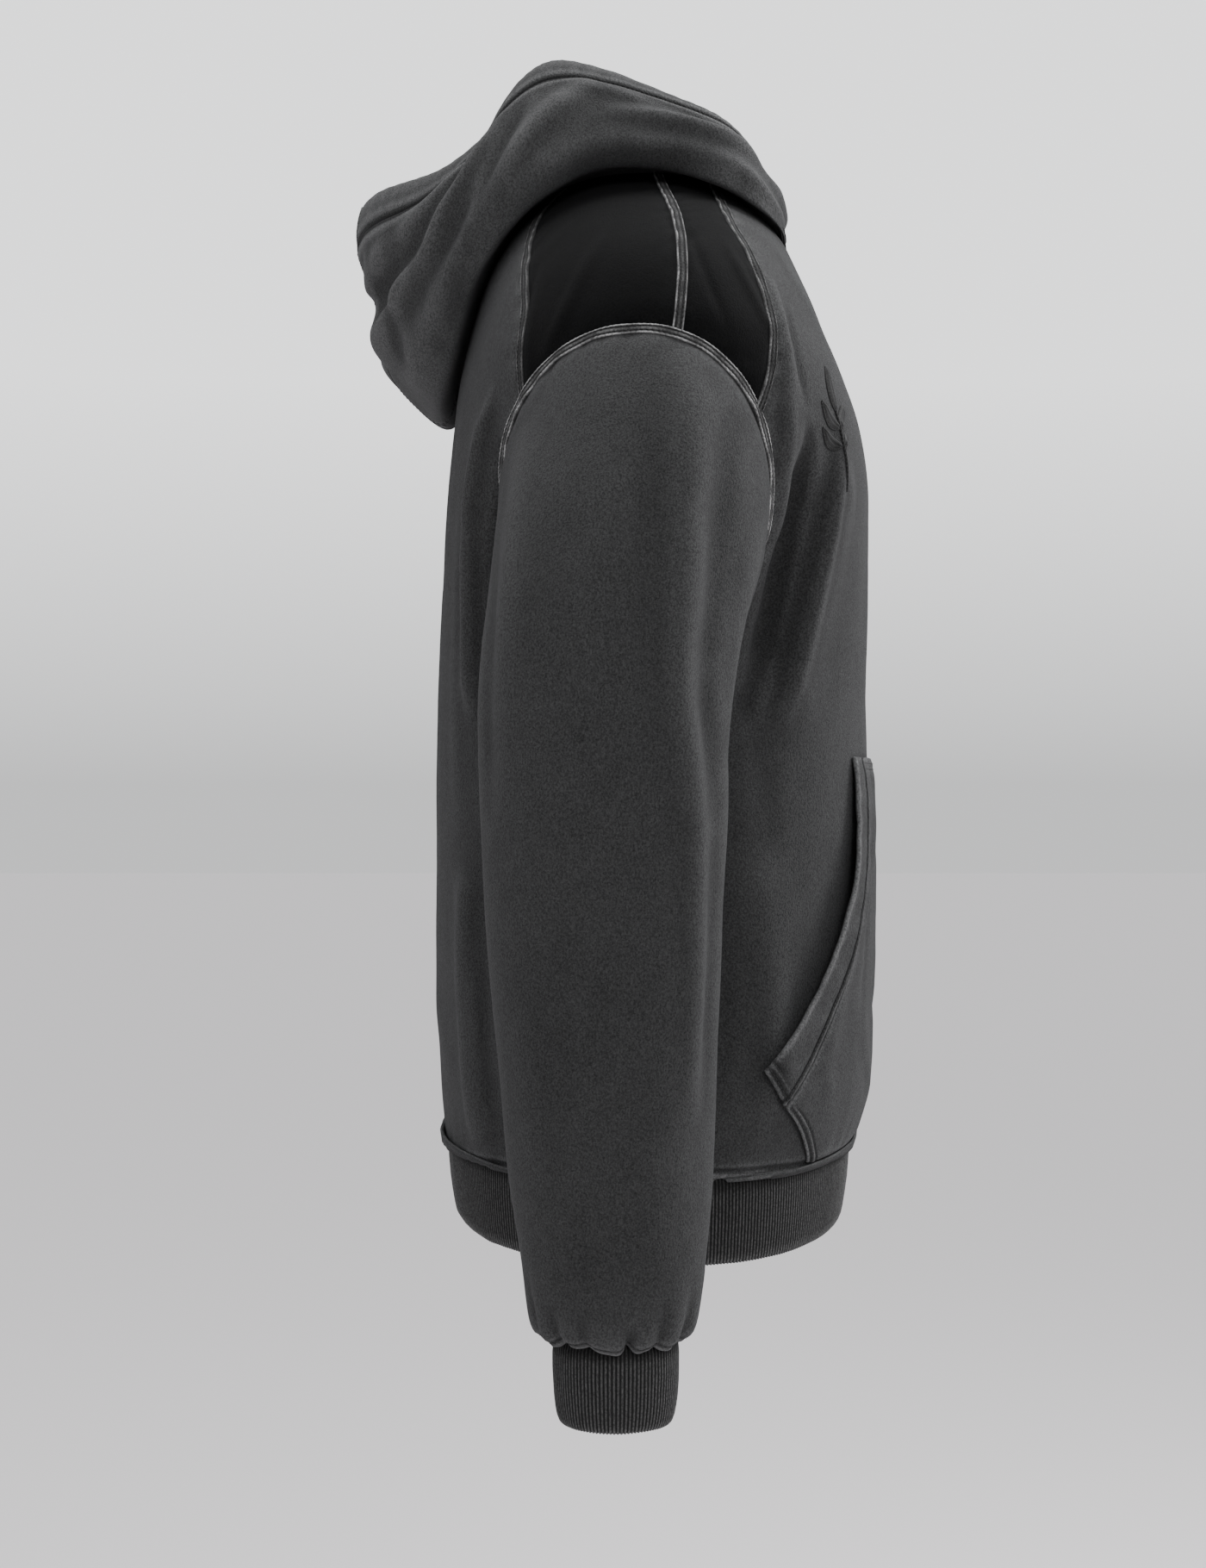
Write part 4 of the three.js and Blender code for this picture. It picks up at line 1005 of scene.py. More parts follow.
# ---------- kangaroo pocket ----------
POCKET_HEM_GAP = 1.5        # the pocket's lower edge above the hem seam
POCKET_ROWS = 112
POCKET_HALF_COLUMNS = 75    # centre line to the band seam
POCKET_BAND_COLUMNS = 36
POCKET_EDGE_COLUMNS, POCKET_EDGE_SHARE = 20, 0.09    # closer columns beside the seam
POCKET_REACH = 140.0        # millimetres across that one whole of a crease stands for
TOP_STITCH = 7.0            # the groove under the pocket's upper edge
TOP_STITCHES = (3.2, 6.8)
BAND_STITCH = 4.6           # the groove in the band beside its seam
SLANT_PUFF = 4.8            # the soft ridge between the two stitch lines of the lower slant
GROOVE = 0.9                # half width of a stitch groove
# Creases on the pocket as (across, level) to (across, level), width and raise in millimetres;
# across runs from the centre (0) to the opening (1).
POCKET_CREASES = [
    (0.55, -372, 0.86, -470, 9, 1.6),
    (0.20, -380, 0.34, -520, 12, 1.2),
    (0.80, -400, 0.62, -520, 10, -1.7),
    (0.70, -500, 0.30, -570, 12, 1.6),
    (0.92, -440, 0.80, -560, 8, 1.5),
    (0.45, -420, 0.40, -560, 10, -1.0),
    (0.10, -500, 0.62, -530, 11, -1.1),
]


def body_cover(turn, z, side):
    """The front panel's own face with its creases and unevenness, and its normals."""
    points = body_points(turn, z, side)
    normals = body_normals(turn, z, side, 0.7)
    lift = body_creases(turn, z, side) + relief(points, FRONT_SEED)
    return points + normals * lift[..., None], normals


def opening_half_width(level):
    return np.interp(level, POCKET_SECTIONS[:, 0], POCKET_SECTIONS[:, 1])


def seam_half_width(level):
    return np.interp(level, POCKET_SEAM[:, 0], POCKET_SEAM[:, 1])


def pocket_half(half_width, level, side):
    """The pocket's face over the body, at half widths from the centre line and at levels."""
    up = (level - HEM_Z) / (POCKET_TOP_Z - HEM_Z)
    full = opening_half_width(level)
    turn = turn_at_half_width(half_width, level)
    z = level + POCKET_HEM_GAP * (1 - up) + (hem_level(turn) - HEM_Z) * (1 - up)
    points, normals = body_cover(turn, z, side)
    stand_off = read(POCKET_SECTIONS, POCKET_COLUMNS, level, "stand_off") * (half_width / full) ** 4
    total = np.zeros_like(level)
    for k, (across_a, z_a, across_b, z_b, width, height) in enumerate(POCKET_CREASES):
        if side < 0:
            across_a, z_b = across_a + 0.05 * math.sin(k * 2.0), z_b + 14 * math.sin(k * 1.3)
            height *= 0.85 + 0.3 * math.cos(k * 1.7)
        distance, share = beside_line(half_width - across_a * full, level - z_a,
                                      (across_b - across_a) * POCKET_REACH, z_b - z_a, (0.05, 0.95))
        total += height * crease_shape(distance, width, share)
    free = smooth(level - HEM_Z, 0, 22) * smooth(POCKET_TOP_Z - level, 0, 16)
    off = POCKET_LIFT + CLOTH + stand_off + (total + 1.6 + 0.5 * lumps(points, 30.0, 2, 21 + side)) * free
    return points + normals * off[..., None]


def pocket_sheet(half_width, level):
    """Both halves of the pocket's face, blended into one at the centre line."""
    right = pocket_half(half_width, level, 1.0)
    left = pocket_half(half_width, level, -1.0)
    blend = smooth(half_width, 0.0, 18.0)[..., None]
    shared = (right + mirrored(left)) / 2
    right = shared * (1 - blend) + right * blend
    left = mirrored(shared) * (1 - blend) + left * blend
    return right, left


def grooves(distance):
    """The two stitch lines of the lower slant."""
    return [bump(distance, reach, GROOVE) for reach in SLANT_STITCHES]


plain, plain_columns = 1 - POCKET_EDGE_SHARE, POCKET_HALF_COLUMNS - POCKET_EDGE_COLUMNS
share = np.concatenate([np.linspace(0, plain, plain_columns + 1)[:-1],
                        np.linspace(plain, 1, POCKET_EDGE_COLUMNS + 1)])
share, level = np.meshgrid(share, np.linspace(HEM_Z, POCKET_TOP_Z, POCKET_ROWS + 1))
panel_right, panel_left = pocket_sheet(share * seam_half_width(level), level)
pocket_points = join_halves(panel_right, panel_left)
pocket_points[:, POCKET_HALF_COLUMNS, 0] = 0
pocket_points = inset(pocket_points)
pocket_normals = facing(pocket_points, FORWARD)
pocket_edges = edge_distance(pocket_points)
side_edge, hem_edge, top_edge = np.minimum(*pocket_edges[:2]), *pocket_edges[2:]
slanted = smooth(POCKET_SLANT_Z - join_halves(level, level), -2, 4)
groove = slanted * sum(grooves(side_edge))
puffed = slanted * bump(side_edge, SLANT_PUFF, 1.3)
lift = seam_pull([side_edge], 0.6, 2.5) + seam_pull([hem_edge, top_edge], 0.8, 3.0)
lift += 0.7 * puffed - 0.8 * groove - 0.55 * bump(top_edge, TOP_STITCH, 1.4)
lift += pucker(top_edge, pocket_points[..., 0], 3.3, 0.5, 16.0)
lift += pucker(hem_edge, pocket_points[..., 0], 7.1, 0.7, 14.0)
for k in (0, 1):
    lift += pucker(pocket_edges[k], pocket_points[..., 2], 5.3 + k, 0.45, 10.0)
pocket_points = pocket_points + pocket_normals * lift[..., None]
pocket_normals = facing(pocket_points, FORWARD)
# Painted highlight on ridges and on the puffed slant, painted shade in hollows, stitch grooves and the seam
# beside the bands; abraded paler along the upper, side and lower edges.
wear = np.clip(curve_of(pocket_points, pocket_normals) * 0.25, -0.15, 0.12)
wear += 0.65 * fade(top_edge, 3.0) + 0.3 * bump(top_edge, TOP_STITCH, 2.0)
wear += 0.25 * seam_wear([side_edge, hem_edge], 4.0) + 0.6 * fade(side_edge, 1.6, 1.4)
wear += 0.35 * puffed - groove - (1 - slanted) * 0.6 * bump(side_edge, 0, GROOVE)
wall("cloth_pocket", pocket_points, pocket_normals, CLOTH, wear)

# The band runs from its seam out to the opening; the slant is its lower end.
share, up = np.meshgrid(np.linspace(0, 1, POCKET_BAND_COLUMNS + 1), np.linspace(0, 1, POCKET_ROWS + 1))
seam_level = POCKET_SLANT_Z + (POCKET_TOP_Z - POCKET_SLANT_Z) * up
opening_level = POCKET_CORNER_Z + (POCKET_TOP_Z - POCKET_CORNER_Z) * up
band_sheets = pocket_sheet(
    seam_half_width(seam_level) * (1 - share) + opening_half_width(opening_level) * share,
    seam_level * (1 - share) + opening_level * share)
bands = {}
for (side_name, side), base in zip(SIDES, band_sheets):
    base = inset(base)
    normals = facing(base, FORWARD)
    inner_edge, opening_edge, slant, top_edge = edge_distance(base)
    groove = np.maximum.reduce([bump(inner_edge, BAND_STITCH, GROOVE), *grooves(slant)])
    puffed = bump(inner_edge, BAND_STITCH / 2, 1.3) + bump(slant, SLANT_PUFF, 1.3)
    lift = 0.7 * puffed - 0.8 * groove + seam_pull([inner_edge], 0.9, 1.8)
    lift += pucker(opening_edge, base[..., 2], 2.7 + side, 0.6, 12.0)
    shaped = base + normals * lift[..., None]
    normals = facing(shaped, FORWARD)
    # Painted highlight on the puffed strips, painted shade in the stitch grooves and the seam groove;
    # uneven abrasion, paler at the opening, top and slanted edges.
    wear = 0.35 * puffed - groove + 0.18 * lumps(base, 14.0, 2, 31 + side)
    wear += 0.85 * fade(opening_edge, 2.0, 1.4) - 0.9 * bump(inner_edge, 0, GROOVE)
    wear += 0.4 * fade(top_edge, 3.0) + 0.6 * fade(slant, 1.6, 1.4)
    wall(f"cloth_pocket_band_{side_name}", shaped, normals, BAND_CLOTH, wear)
    bands[side_name] = (shaped, normals)


# ---------- raised flat seams ----------
# Section of a flat seam: millimetres across, millimetres above the cloth, and paleness: the raised edges
# abraded paler with painted highlight, painted shade below zero in the stitch grooves.
SEAM_PROFILE = np.array([
    (-3.2, -2.6, 0.0),
    (-3.1, -0.3, 0.3),
    (-2.85, 0.45, 0.9),
    (-2.5, 0.78, 1.0),
    (-2.1, 0.66, 0.5),
    (-1.75, 0.26, -0.5),
    (-1.35, 0.22, -0.7),
    (-0.95, 0.44, 0.05),
    (0.0, 0.56, 0.2),
    (0.95, 0.44, 0.05),
    (1.35, 0.22, -0.7),
    (1.75, 0.26, -0.5),
    (2.1, 0.58, 0.3),
    (2.5, 0.66, 0.65),
    (2.85, 0.35, 0.5),
    (3.1, -0.3, 0.1),
    (3.2, -2.6, 0.0),
])
STITCH_PITCH = 3.0
SEAM_STEP = 1.0             # between the sections of a seam
# How far each kind of seam stands off the cloth, and how strongly its edges are paled, partly by abrasion
# and partly as painted highlight.
SEAM_KINDS = {
    "armhole": (2.2, 1.5),
    "shoulder": (1.2, 0.65),
    "front_insert": (1.1, 0.4),
    "back_insert": (1.1, 0.4),
}


def frame_along(line, normals, closed=False):
    """The line's direction, its normals made square to it, and the way across."""
    tangent = np.roll(line, -1, axis=0) - np.roll(line, 1, axis=0) if closed else np.gradient(line, axis=0)
    tangent = unit(tangent)
    normals = unit(normals - tangent * np.sum(normals * tangent, axis=-1, keepdims=True))
    return tangent, normals, np.cross(tangent, normals)


def even_line(line, normals, pitch, closed=False):
    """The line and its normals redrawn at an even pitch."""
    both = np.hstack([line, normals])
    if closed:
        both = np.vstack([both, both[:1]])
    reach = length_along(both[:, :3])
    count = max(int(round(reach[-1] / pitch)), 4)
    want = np.linspace(0, reach[-1], count + 1)
    drawn = np.stack([np.interp(want, reach, both[:, k]) for k in range(6)], axis=-1)
    if closed:
        drawn = drawn[:-1]
    return drawn[:, :3], drawn[:, 3:]


def flat_seam(name, line, normals, side, lift, rubbed_and_highlit, closed=False):
    """A ribbon with the seam's section, raised off the cloth; gives its line for the stitches."""
    line, normals = even_line(line, normals, SEAM_STEP, closed)
    if closed:
        # Under the arm the seam faces down, in the fold between sleeve and body.
        under = 1 - smooth(line[:, 2:], UNDERARM_Z + 25, UNDERARM_Z + 70)
        normals = normals * (1 - under) + np.array([0, 0, -1.0]) * under
        lift = lift - (lift + 1.5) * under
    line, normals = blurred(line, 5, closed), blurred(normals, 12, closed)
    _, normals, across = frame_along(line, normals, closed)
    line = line + normals * lift
    run = np.arange(len(line)) * SEAM_STEP
    rows = []
    wear_and_shading_parts = []
    for offset, rise, worn_and_shading in SEAM_PROFILE * [side, 1, 1]:
        ripple = (0.16 * np.sin(run * 2 * math.pi / STITCH_PITCH + offset)
                  + 0.12 * np.sin(run / 4.7 + offset * 0.7))
        top = rise + ripple * (rise > 0)
        rows.append(line + across * offset + normals * top[:, None])
        # The pale edges, abrasion with painted highlight, scale with the kind; the grooves keep their
        # painted shade.
        worn_and_shading = worn_and_shading * rubbed_and_highlit if worn_and_shading > 0 else worn_and_shading
        wear_and_shading_parts.append(worn_and_shading * (0.70 + 0.30 * np.sin(run / 2.9 + 2 * np.sin(run / 23.0))))
    grid = np.arange(len(rows) * len(run)).reshape(len(rows), len(run))
    if closed:
        grid = np.concatenate([grid, grid[:, :1]], axis=1)
    faces = quads(np.concatenate([grid, grid[:1]]))
    faces = (faces[:, [0, 3, 2, 1]] if side > 0 else faces).tolist()
    if not closed:
        ends = [grid[:, 0].tolist(), grid[::-1, -1].tolist()]
        faces += ends if side > 0 else [end[::-1] for end in ends]
    mesh_object(name, np.vstack(rows), faces, np.concatenate(wear_and_shading_parts))
    return line, normals, across


def middle_line(first, second):
    """Halfway between two sewn edges that run the same way; each is (points, normals)."""
    count = max(len(first[0]), len(second[0])) * 2
    line, normals = ((spaced(a, count - 1) + spaced(b, count - 1)) / 2 for a, b in zip(first, second))
    return line, unit(normals)


def part_of(sheet, rows, columns):
    """The same part of a sheet's points and normals."""
    return tuple(values[rows, columns] for values in sheet)


def end_to_end(*parts):
    return tuple(np.vstack(values) for values in zip(*parts))


seam_lines = {}
for side_name, side in SIDES:
    front, back = (front_points, front_normals), (back_points, back_normals)
    front_insert, back_insert = inserts["front", side_name], inserts["back", side_name]
    sleeve = sleeves[side_name]
    body_side = -1 if side > 0 else 0
    front_corner, back_corner = ROWS_BELOW + FRONT_HOLE, ROWS_BELOW + BACK_HOLE
    round_body = end_to_end(part_of(front_insert, slice(None, None, -1), 0),
                            part_of(front, slice(front_corner, ROWS_BELOW - 1, -1), body_side),
                            part_of(back, slice(ROWS_BELOW, back_corner + 1), body_side),
                            part_of(back_insert, slice(None), 0))
    round_sleeve = end_to_end(part_of(sleeve, -1, slice(None)), part_of(sleeve, -1, slice(0, 1)))
    edges = {
        "armhole": (round_body, round_sleeve),
        "shoulder": (part_of(front_insert, -1, slice(None)), part_of(back_insert, -1, slice(None))),
        "front_insert": (part_of(front, slice(front_corner, None), body_side),
                         part_of(front_insert, 0, slice(None))),
        "back_insert": (part_of(back, slice(back_corner, None), body_side),
                        part_of(back_insert, 0, slice(None))),
    }
    for kind, (lift, rubbed_and_highlit) in SEAM_KINDS.items():
        closed = kind == "armhole"
        kept = slice(None, -1) if closed else slice(1, -1)
        line, normals = middle_line(*edges[kind])
        seam_lines[kind, side_name] = flat_seam(f"seam_{kind}_{side_name}", line[kept], normals[kept], side,
                                                lift, rubbed_and_highlit, closed)


# ---------- stitches ----------
# Rings of one stitch: millimetres along it, radius, rise.
STITCH_RINGS = ((-1.12, 0.14, -0.14), (0.0, 0.25, 0.16), (1.12, 0.14, -0.14))
STITCH_SIDES = 5
STITCH_SWAY = 0.09          # how far a stitch may turn from its line
THREAD = 0.9                # thickness of the sewing thread, as a share of the rings'
NECK_THREAD = 1.0


def stitches(name, runs, thickness=THREAD):
    """Many thread stitches as one mesh; each run is (points, normals) or (points, normals, closed)."""
    vertices = []
    faces = []
    angles = np.arange(STITCH_SIDES) / STITCH_SIDES * 2 * math.pi
    rings = np.arange(len(STITCH_RINGS) * STITCH_SIDES).reshape(len(STITCH_RINGS), STITCH_SIDES)
    sides = quads(np.hstack([rings, rings[:, :1]])).tolist()
    ends = [rings[0, ::-1].tolist(), rings[-1].tolist()]
    for run in runs:
        line, upward = even_line(run[0], run[1], STITCH_PITCH, *run[2:])
        frames = frame_along(line, upward, *run[2:])
        for place, along, up, across in zip(line, *frames):
            along = along + across * rng.uniform(-STITCH_SWAY, STITCH_SWAY)
            start = len(vertices) * STITCH_SIDES
            for reach, radius, rise in STITCH_RINGS:
                centre = place + along * reach + up * (rise * thickness + 0.1)
                vertices.append(centre + radius * thickness * (np.cos(angles)[:, None] * across
                                                               + np.sin(angles)[:, None] * up))
            faces += [[start + corner for corner in face] for face in sides + ends]
    mesh_object(name, np.vstack(vertices), faces, np.full(len(vertices) * STITCH_SIDES, 0.6))


def row_at(points, normals, distances, reach, lift, columns=slice(None)):
    """A line across a sheet's columns, where they reach a distance from its edge."""
    both = np.concatenate([points, normals], axis=-1)
    line = []
    for column in range(points.shape[1])[columns]:
        order = np.argsort(distances[:, column])
        line.append([np.interp(reach, distances[order, column], both[order, column, k]) for k in range(6)])
    line = np.array(line)
    return line[:, :3] + line[:, 3:] * lift, line[:, 3:]


def column_at(points, normals, distances, reach, lift, rows):
    return row_at(points.transpose(1, 0, 2), normals.transpose(1, 0, 2), distances.T, reach, lift, rows)


for side_name, side in SIDES:
    runs = []
    for kind in SEAM_KINDS:
        line, normals, across = seam_lines[kind, side_name]
        for offset in (-1.62, 1.62):
            runs.append((line + across * offset + normals * 0.3, normals, kind == "armhole"))
    stitches(f"thread_body_seams_{side_name}", runs)
    points, normals = hoods[side_name]
    runs = [(points[row, 2:-2] + normals[row, 2:-2] * 0.15, normals[row, 2:-2])
            for row in (rim_row - 1, rim_row + 1)]
    runs.append(column_at(points, normals, edge_distance(points)[0], 2.6, 0.15, slice(3, -2)))
    stitches(f"thread_hood_{side_name}", runs)
    points, normals = bands[side_name]
    inner_edge, _, slant, _ = edge_distance(points)
    runs = [row_at(points, normals, slant, reach, 0.05, slice(1, -3)) for reach in SLANT_STITCHES]
    runs.append(column_at(points, normals, inner_edge, BAND_STITCH, 0.05, slice(2, -2)))
    stitches(f"thread_pocket_opening_{side_name}", runs)

runs = [row_at(pocket_points, pocket_normals, pocket_edges[3], reach, 0.05, slice(2, -2))
        for reach in TOP_STITCHES]
slant_rows = slice(2, round(POCKET_ROWS * (POCKET_SLANT_Z - HEM_Z) / (POCKET_TOP_Z - HEM_Z)))
for side_edge in pocket_edges[:2]:
    for reach in SLANT_STITCHES:
        runs.append(column_at(pocket_points, pocket_normals, side_edge, reach, 0.05, slant_rows))
stitches("thread_pocket", runs)

both_bodies = ((front_points, front_normals), (back_points, back_normals))
stitches("thread_hem", [row_at(points, normals, edge_distance(points)[2], HEM_STITCH, 0.1, slice(2, -2))
                        for points, normals in both_bodies])
collar = slice(-16, None)       # the front body's upper rows
neck_edge = edge_distance(front_points)[3][collar]
runs = [row_at(front_points[collar], front_normals[collar], neck_edge, reach, 0.3, slice(6, -6))
        for reach in NECK_STITCHES]
stitches("thread_neck", runs, NECK_THREAD)
for side_name, side in SIDES:
    points, normals = sleeves[side_name]
    runs = [(*row_at(points, normals, edge_distance(points, True)[2], HEM_STITCH, 0.1), True)]
    stitches(f"thread_cuff_{side_name}", runs)


# ---------- embroidered sprig on the right chest ----------
SPRIG_X, SPRIG_Z = -183.0, -176.0
# Each leaf: across and up from the sprig's middle, angle in degrees, length, width.
SPRIG_LEAVES = np.array([
    (0.0, 12.0, 92.0, 26.0, 10.0),
    (-1.0, 2.0, 142.0, 22.0, 8.5),
    (1.0, 4.0, 40.0, 22.0, 8.5),
    (-1.5, -9.0, 150.0, 19.0, 8.0),
    (1.5, -7.0, 30.0, 19.0, 8.0),
])
SPRIG_STEM = [(0.0, 14.0), (-0.4, 2.0), (0.3, -12.0), (3.0, -24.0), (7.5, -33.0)]
LEAF_STEPS = 44
LEAF_ACROSS = 12
LEAF_PAD = 1.5              # height of the satin stitches in a leaf's middle
LEAF_BOW = 1.6              # how far a leaf curves to its side
SATIN_PITCH = 0.9
CORD_STEP = 0.55
CORD_TURNS = np.linspace(0, 2 * math.pi, 9)


def on_chest(across, up, lift):
    """Points on the right chest, from millimetres across and up from the sprig's middle."""
    z = SPRIG_Z + up
    turn = turn_at_half_width(np.abs(SPRIG_X + across), z)
    points, normals = body_cover(turn, z, 1.0)
    return points + normals * np.asarray(lift)[..., None], normals


def leaf_outline(share, width):
    return width / 2 * np.sin(math.pi * share ** 0.85) ** 0.8


def in_leaf(row, share, sideways):
    """Across and up of places in a leaf, at shares of its length and millimetres to its side."""
    across, up, angle, length, _ = row
    cosine, sine = math.cos(math.radians(angle)), math.sin(math.radians(angle))
    sideways = sideways + LEAF_BOW * np.sin(math.pi * share) * (1 if angle > 90 else -1)
    return (across + cosine * share * length - sine * sideways,
            up + sine * share * length + cosine * sideways)


def sprig_leaf(row):
    """One pad of satin stitches, raised in the middle and ribbed along its threads."""
    share, over = np.meshgrid(np.linspace(0.0, 1.0, LEAF_STEPS + 1), np.linspace(-1, 1, LEAF_ACROSS + 1),
                              indexing="ij")
    *_, length, width = row
    half = leaf_outline(share, width) + 0.15
    pad = LEAF_PAD * np.sqrt(np.clip(1 - over ** 2, 0, 1)) * np.minimum(half / 2.4, 1.0)
    threads = np.sin((share * length + np.abs(over) * half * 0.8) * 2 * math.pi / SATIN_PITCH)
    lift = 0.25 + pad + 0.13 * threads - 0.45 * bump(over, 0, 0.14)
    lift = np.where(np.abs(over) > 0.999, -0.9, lift)
    # Painted highlight on the satin threads' crests and painted shade between them and in the middle
    # groove; the leaf is darker overall and paler near its edges.
    wear = 0.22 * threads - 0.25 + bump(np.abs(over), 0.84, 0.12) - 0.7 * bump(over, 0, 0.16)
    return on_chest(*in_leaf(row, share, over * half), lift)[0], wear


def cord_on_chest(control, radius, twist):
    """A round twisted outline cord along a line given in millimetres across and up."""
    line = route(control, max(len(control) * 14, 40))
    points, normals = on_chest(line[:, 0], line[:, 1], np.full(len(line), radius * 0.55))
    points, normals = even_line(points, normals, CORD_STEP)
    _, normals, across = frame_along(points, normals)
    run = np.arange(len(points)) * CORD_STEP
    swell = 0.22 * np.sin(run[:, None] * 2 * math.pi / twist + CORD_TURNS)
    ring = np.cos(CORD_TURNS)[:, None] * across[:, None] + np.sin(CORD_TURNS)[:, None] * normals[:, None]
    # Paleness follows the twist: painted highlight where the cord swells out, painted shade where it sinks
    # in.
    return points[:, None] + radius * (1 + swell)[..., None] * ring, 0.35 * swell / 0.22 + 0.15


def joined(name, sheets):
    """Open sheets of points, with their paleness and painted shading, as one mesh."""
    faces = []
    start = 0
    for points, _ in sheets:
        rows, columns = points.shape[:2]
        faces += (start + quads(np.arange(rows * columns).reshape(rows, columns))).tolist()
        start += rows * columns
    mesh_object(name, np.vstack([points.reshape(-1, 3) for points, _ in sheets]), faces,
                np.concatenate([wear.reshape(-1) for _, wear in sheets]))


joined("stitched_sprig_leaves", [sprig_leaf(row) for row in SPRIG_LEAVES])
cords = [cord_on_chest(SPRIG_STEM, 0.85, 2.4)]
share = np.linspace(0.0, 1.0, 9)
for row in SPRIG_LEAVES:
    for hand in (-1, 1):
        edge = in_leaf(row, share, hand * (leaf_outline(share, row[-1]) + 0.3))
        cords.append(cord_on_chest(np.stack(edge, axis=-1), 0.5, 1.6))
joined("stitched_sprig_outline", cords)


# ---------- materials ----------
def feed(tree, socket, value):
    """Links a socket to another, or sets its number or colour."""
    if isinstance(value, bpy.types.NodeSocket):
        tree.links.new(value, socket)
    else:
        socket.default_value = value


def add_node(tree, kind, settings=(), **inputs):
    made = tree.nodes.new(kind)
    for key, value in settings:
        setattr(made, key, value)
    for key, value in inputs.items():
        feed(tree, made.inputs[key.replace("_", " ")], value)
    return made


def noise_of(tree, where, scale, detail, roughness=0.6, stretch=(1, 1, 1)):
    mapped = add_node(tree, "ShaderNodeMapping", Vector=where, Scale=stretch)
    made = add_node(tree, "ShaderNodeTexNoise", Vector=mapped.outputs["Vector"], Scale=scale, Detail=detail,
                    Roughness=roughness)
    return made.outputs["Fac"]


def levels(tree, value, low, high, to_low=0.0, to_high=1.0):
    made = add_node(tree, "ShaderNodeMapRange", Value=value, From_Min=low, From_Max=high, To_Min=to_low,
                    To_Max=to_high)
    return made.outputs["Result"]


def maths(tree, operation, first, second):
    made = add_node(tree, "ShaderNodeMath", [("operation", operation)])
    for socket, value in zip(made.inputs, (first, second)):
        feed(tree, socket, value)
    return made.outputs["Value"]


def mixed(tree, factor, first, second):
    made = add_node(tree, "ShaderNodeMix", [("data_type", "RGBA")])
    for socket, value in ((made.inputs[0], factor), (made.inputs[6], first), (made.inputs[7], second)):
        feed(tree, socket, value)
    return made.outputs[2]


def grey(value, warm=0.0):
    return (value * (1 + warm), value, value * (1 - warm), 1.0)


def cloth_material(name, deep, light, worn_and_shading, mottle=1.0, grain=1.0, nap=1.0, roughness=0.95, sheen=0.06,
                   wear_and_highlight_gain=1.0, warm=0.0, gleam=0.06):
    """Washed cotton: uneven dye at several sizes, a salt-and-pepper grain, paler ridges and edges that are
    partly abrasion and partly painted highlight, and painted shade in creases and grooves.
    """
    material = bpy.data.materials.new(name)
    material.use_nodes = True
    tree = material.node_tree
    tree.nodes.clear()
    where = add_node(tree, "ShaderNodeTexCoord").outputs["Object"]
    clouds = levels(tree, noise_of(tree, where, 9.0, 4.0), 0.2, 0.8)
    patches = levels(tree, noise_of(tree, where, 60.0, 6.0, 0.75, (1, 1, 0.8)), 0.2, 0.8)
    mesh_grain = levels(tree, noise_of(tree, where, 900.0, 3.0, 0.8, (1, 1, 0.8)), 0.38, 0.62)
    fine_grain = levels(tree, noise_of(tree, where, 1500.0, 2.0, 0.6), 0.35, 0.65)
    tone = maths(tree, "MULTIPLY", clouds, 0.26 * mottle)
    tone = maths(tree, "ADD", tone, maths(tree, "MULTIPLY", patches, 0.18 * mottle))
    tone = maths(tree, "ADD", tone, maths(tree, "MULTIPLY", mesh_grain, 0.46 * grain))
    tone = maths(tree, "ADD", tone, maths(tree, "MULTIPLY", fine_grain, 0.24 * grain))
    colour = mixed(tree, tone, grey(deep, warm), grey(light, warm))
    wear = add_node(tree, "ShaderNodeAttribute", [("attribute_name", "wear")]).outputs["Fac"]
    # Above zero the colour goes paler: abrasion along edges and seams, and painted highlight on ridges.
    rubbed_and_highlit = maths(tree, "ADD", maths(tree, "MULTIPLY", mesh_grain, 0.75), 0.35)
    worn_and_highlight_share = maths(tree, "MULTIPLY", wear, maths(tree, "MULTIPLY", rubbed_and_highlit, wear_and_highlight_gain))
    colour = mixed(tree, levels(tree, worn_and_highlight_share, 0.0, 1.0), colour, grey(worn_and_shading, warm))
    # Below zero it goes darker, to half the deepest tone: painted shade in creases, grooves and seam gaps.
    colour = mixed(tree, levels(tree, wear, 0.0, -1.0, 0.0, 0.75), colour, grey(deep * 0.5, warm))
    fuzz = add_node(tree, "ShaderNodeBump", Strength=0.55, Distance=0.0009 * nap,
                    Height=noise_of(tree, where, 260.0, 4.0, 0.7))
    weave = add_node(tree, "ShaderNodeBump", Strength=0.7, Distance=0.0004 * nap, Height=mesh_grain,
                     Normal=fuzz.outputs["Normal"])
    shader = add_node(tree, "ShaderNodeBsdfPrincipled", Base_Color=colour, Roughness=roughness,
                      Normal=weave.outputs["Normal"])
    shader.inputs["Specular IOR Level"].default_value = gleam
    shader.inputs["Sheen Weight"].default_value = sheen
    shader.inputs["Sheen Roughness"].default_value = 0.55
    shader.inputs["Sheen Tint"].default_value = (0.75, 0.75, 0.78, 1.0)
    add_node(tree, "ShaderNodeOutputMaterial", Surface=shader.outputs["BSDF"])
    return material


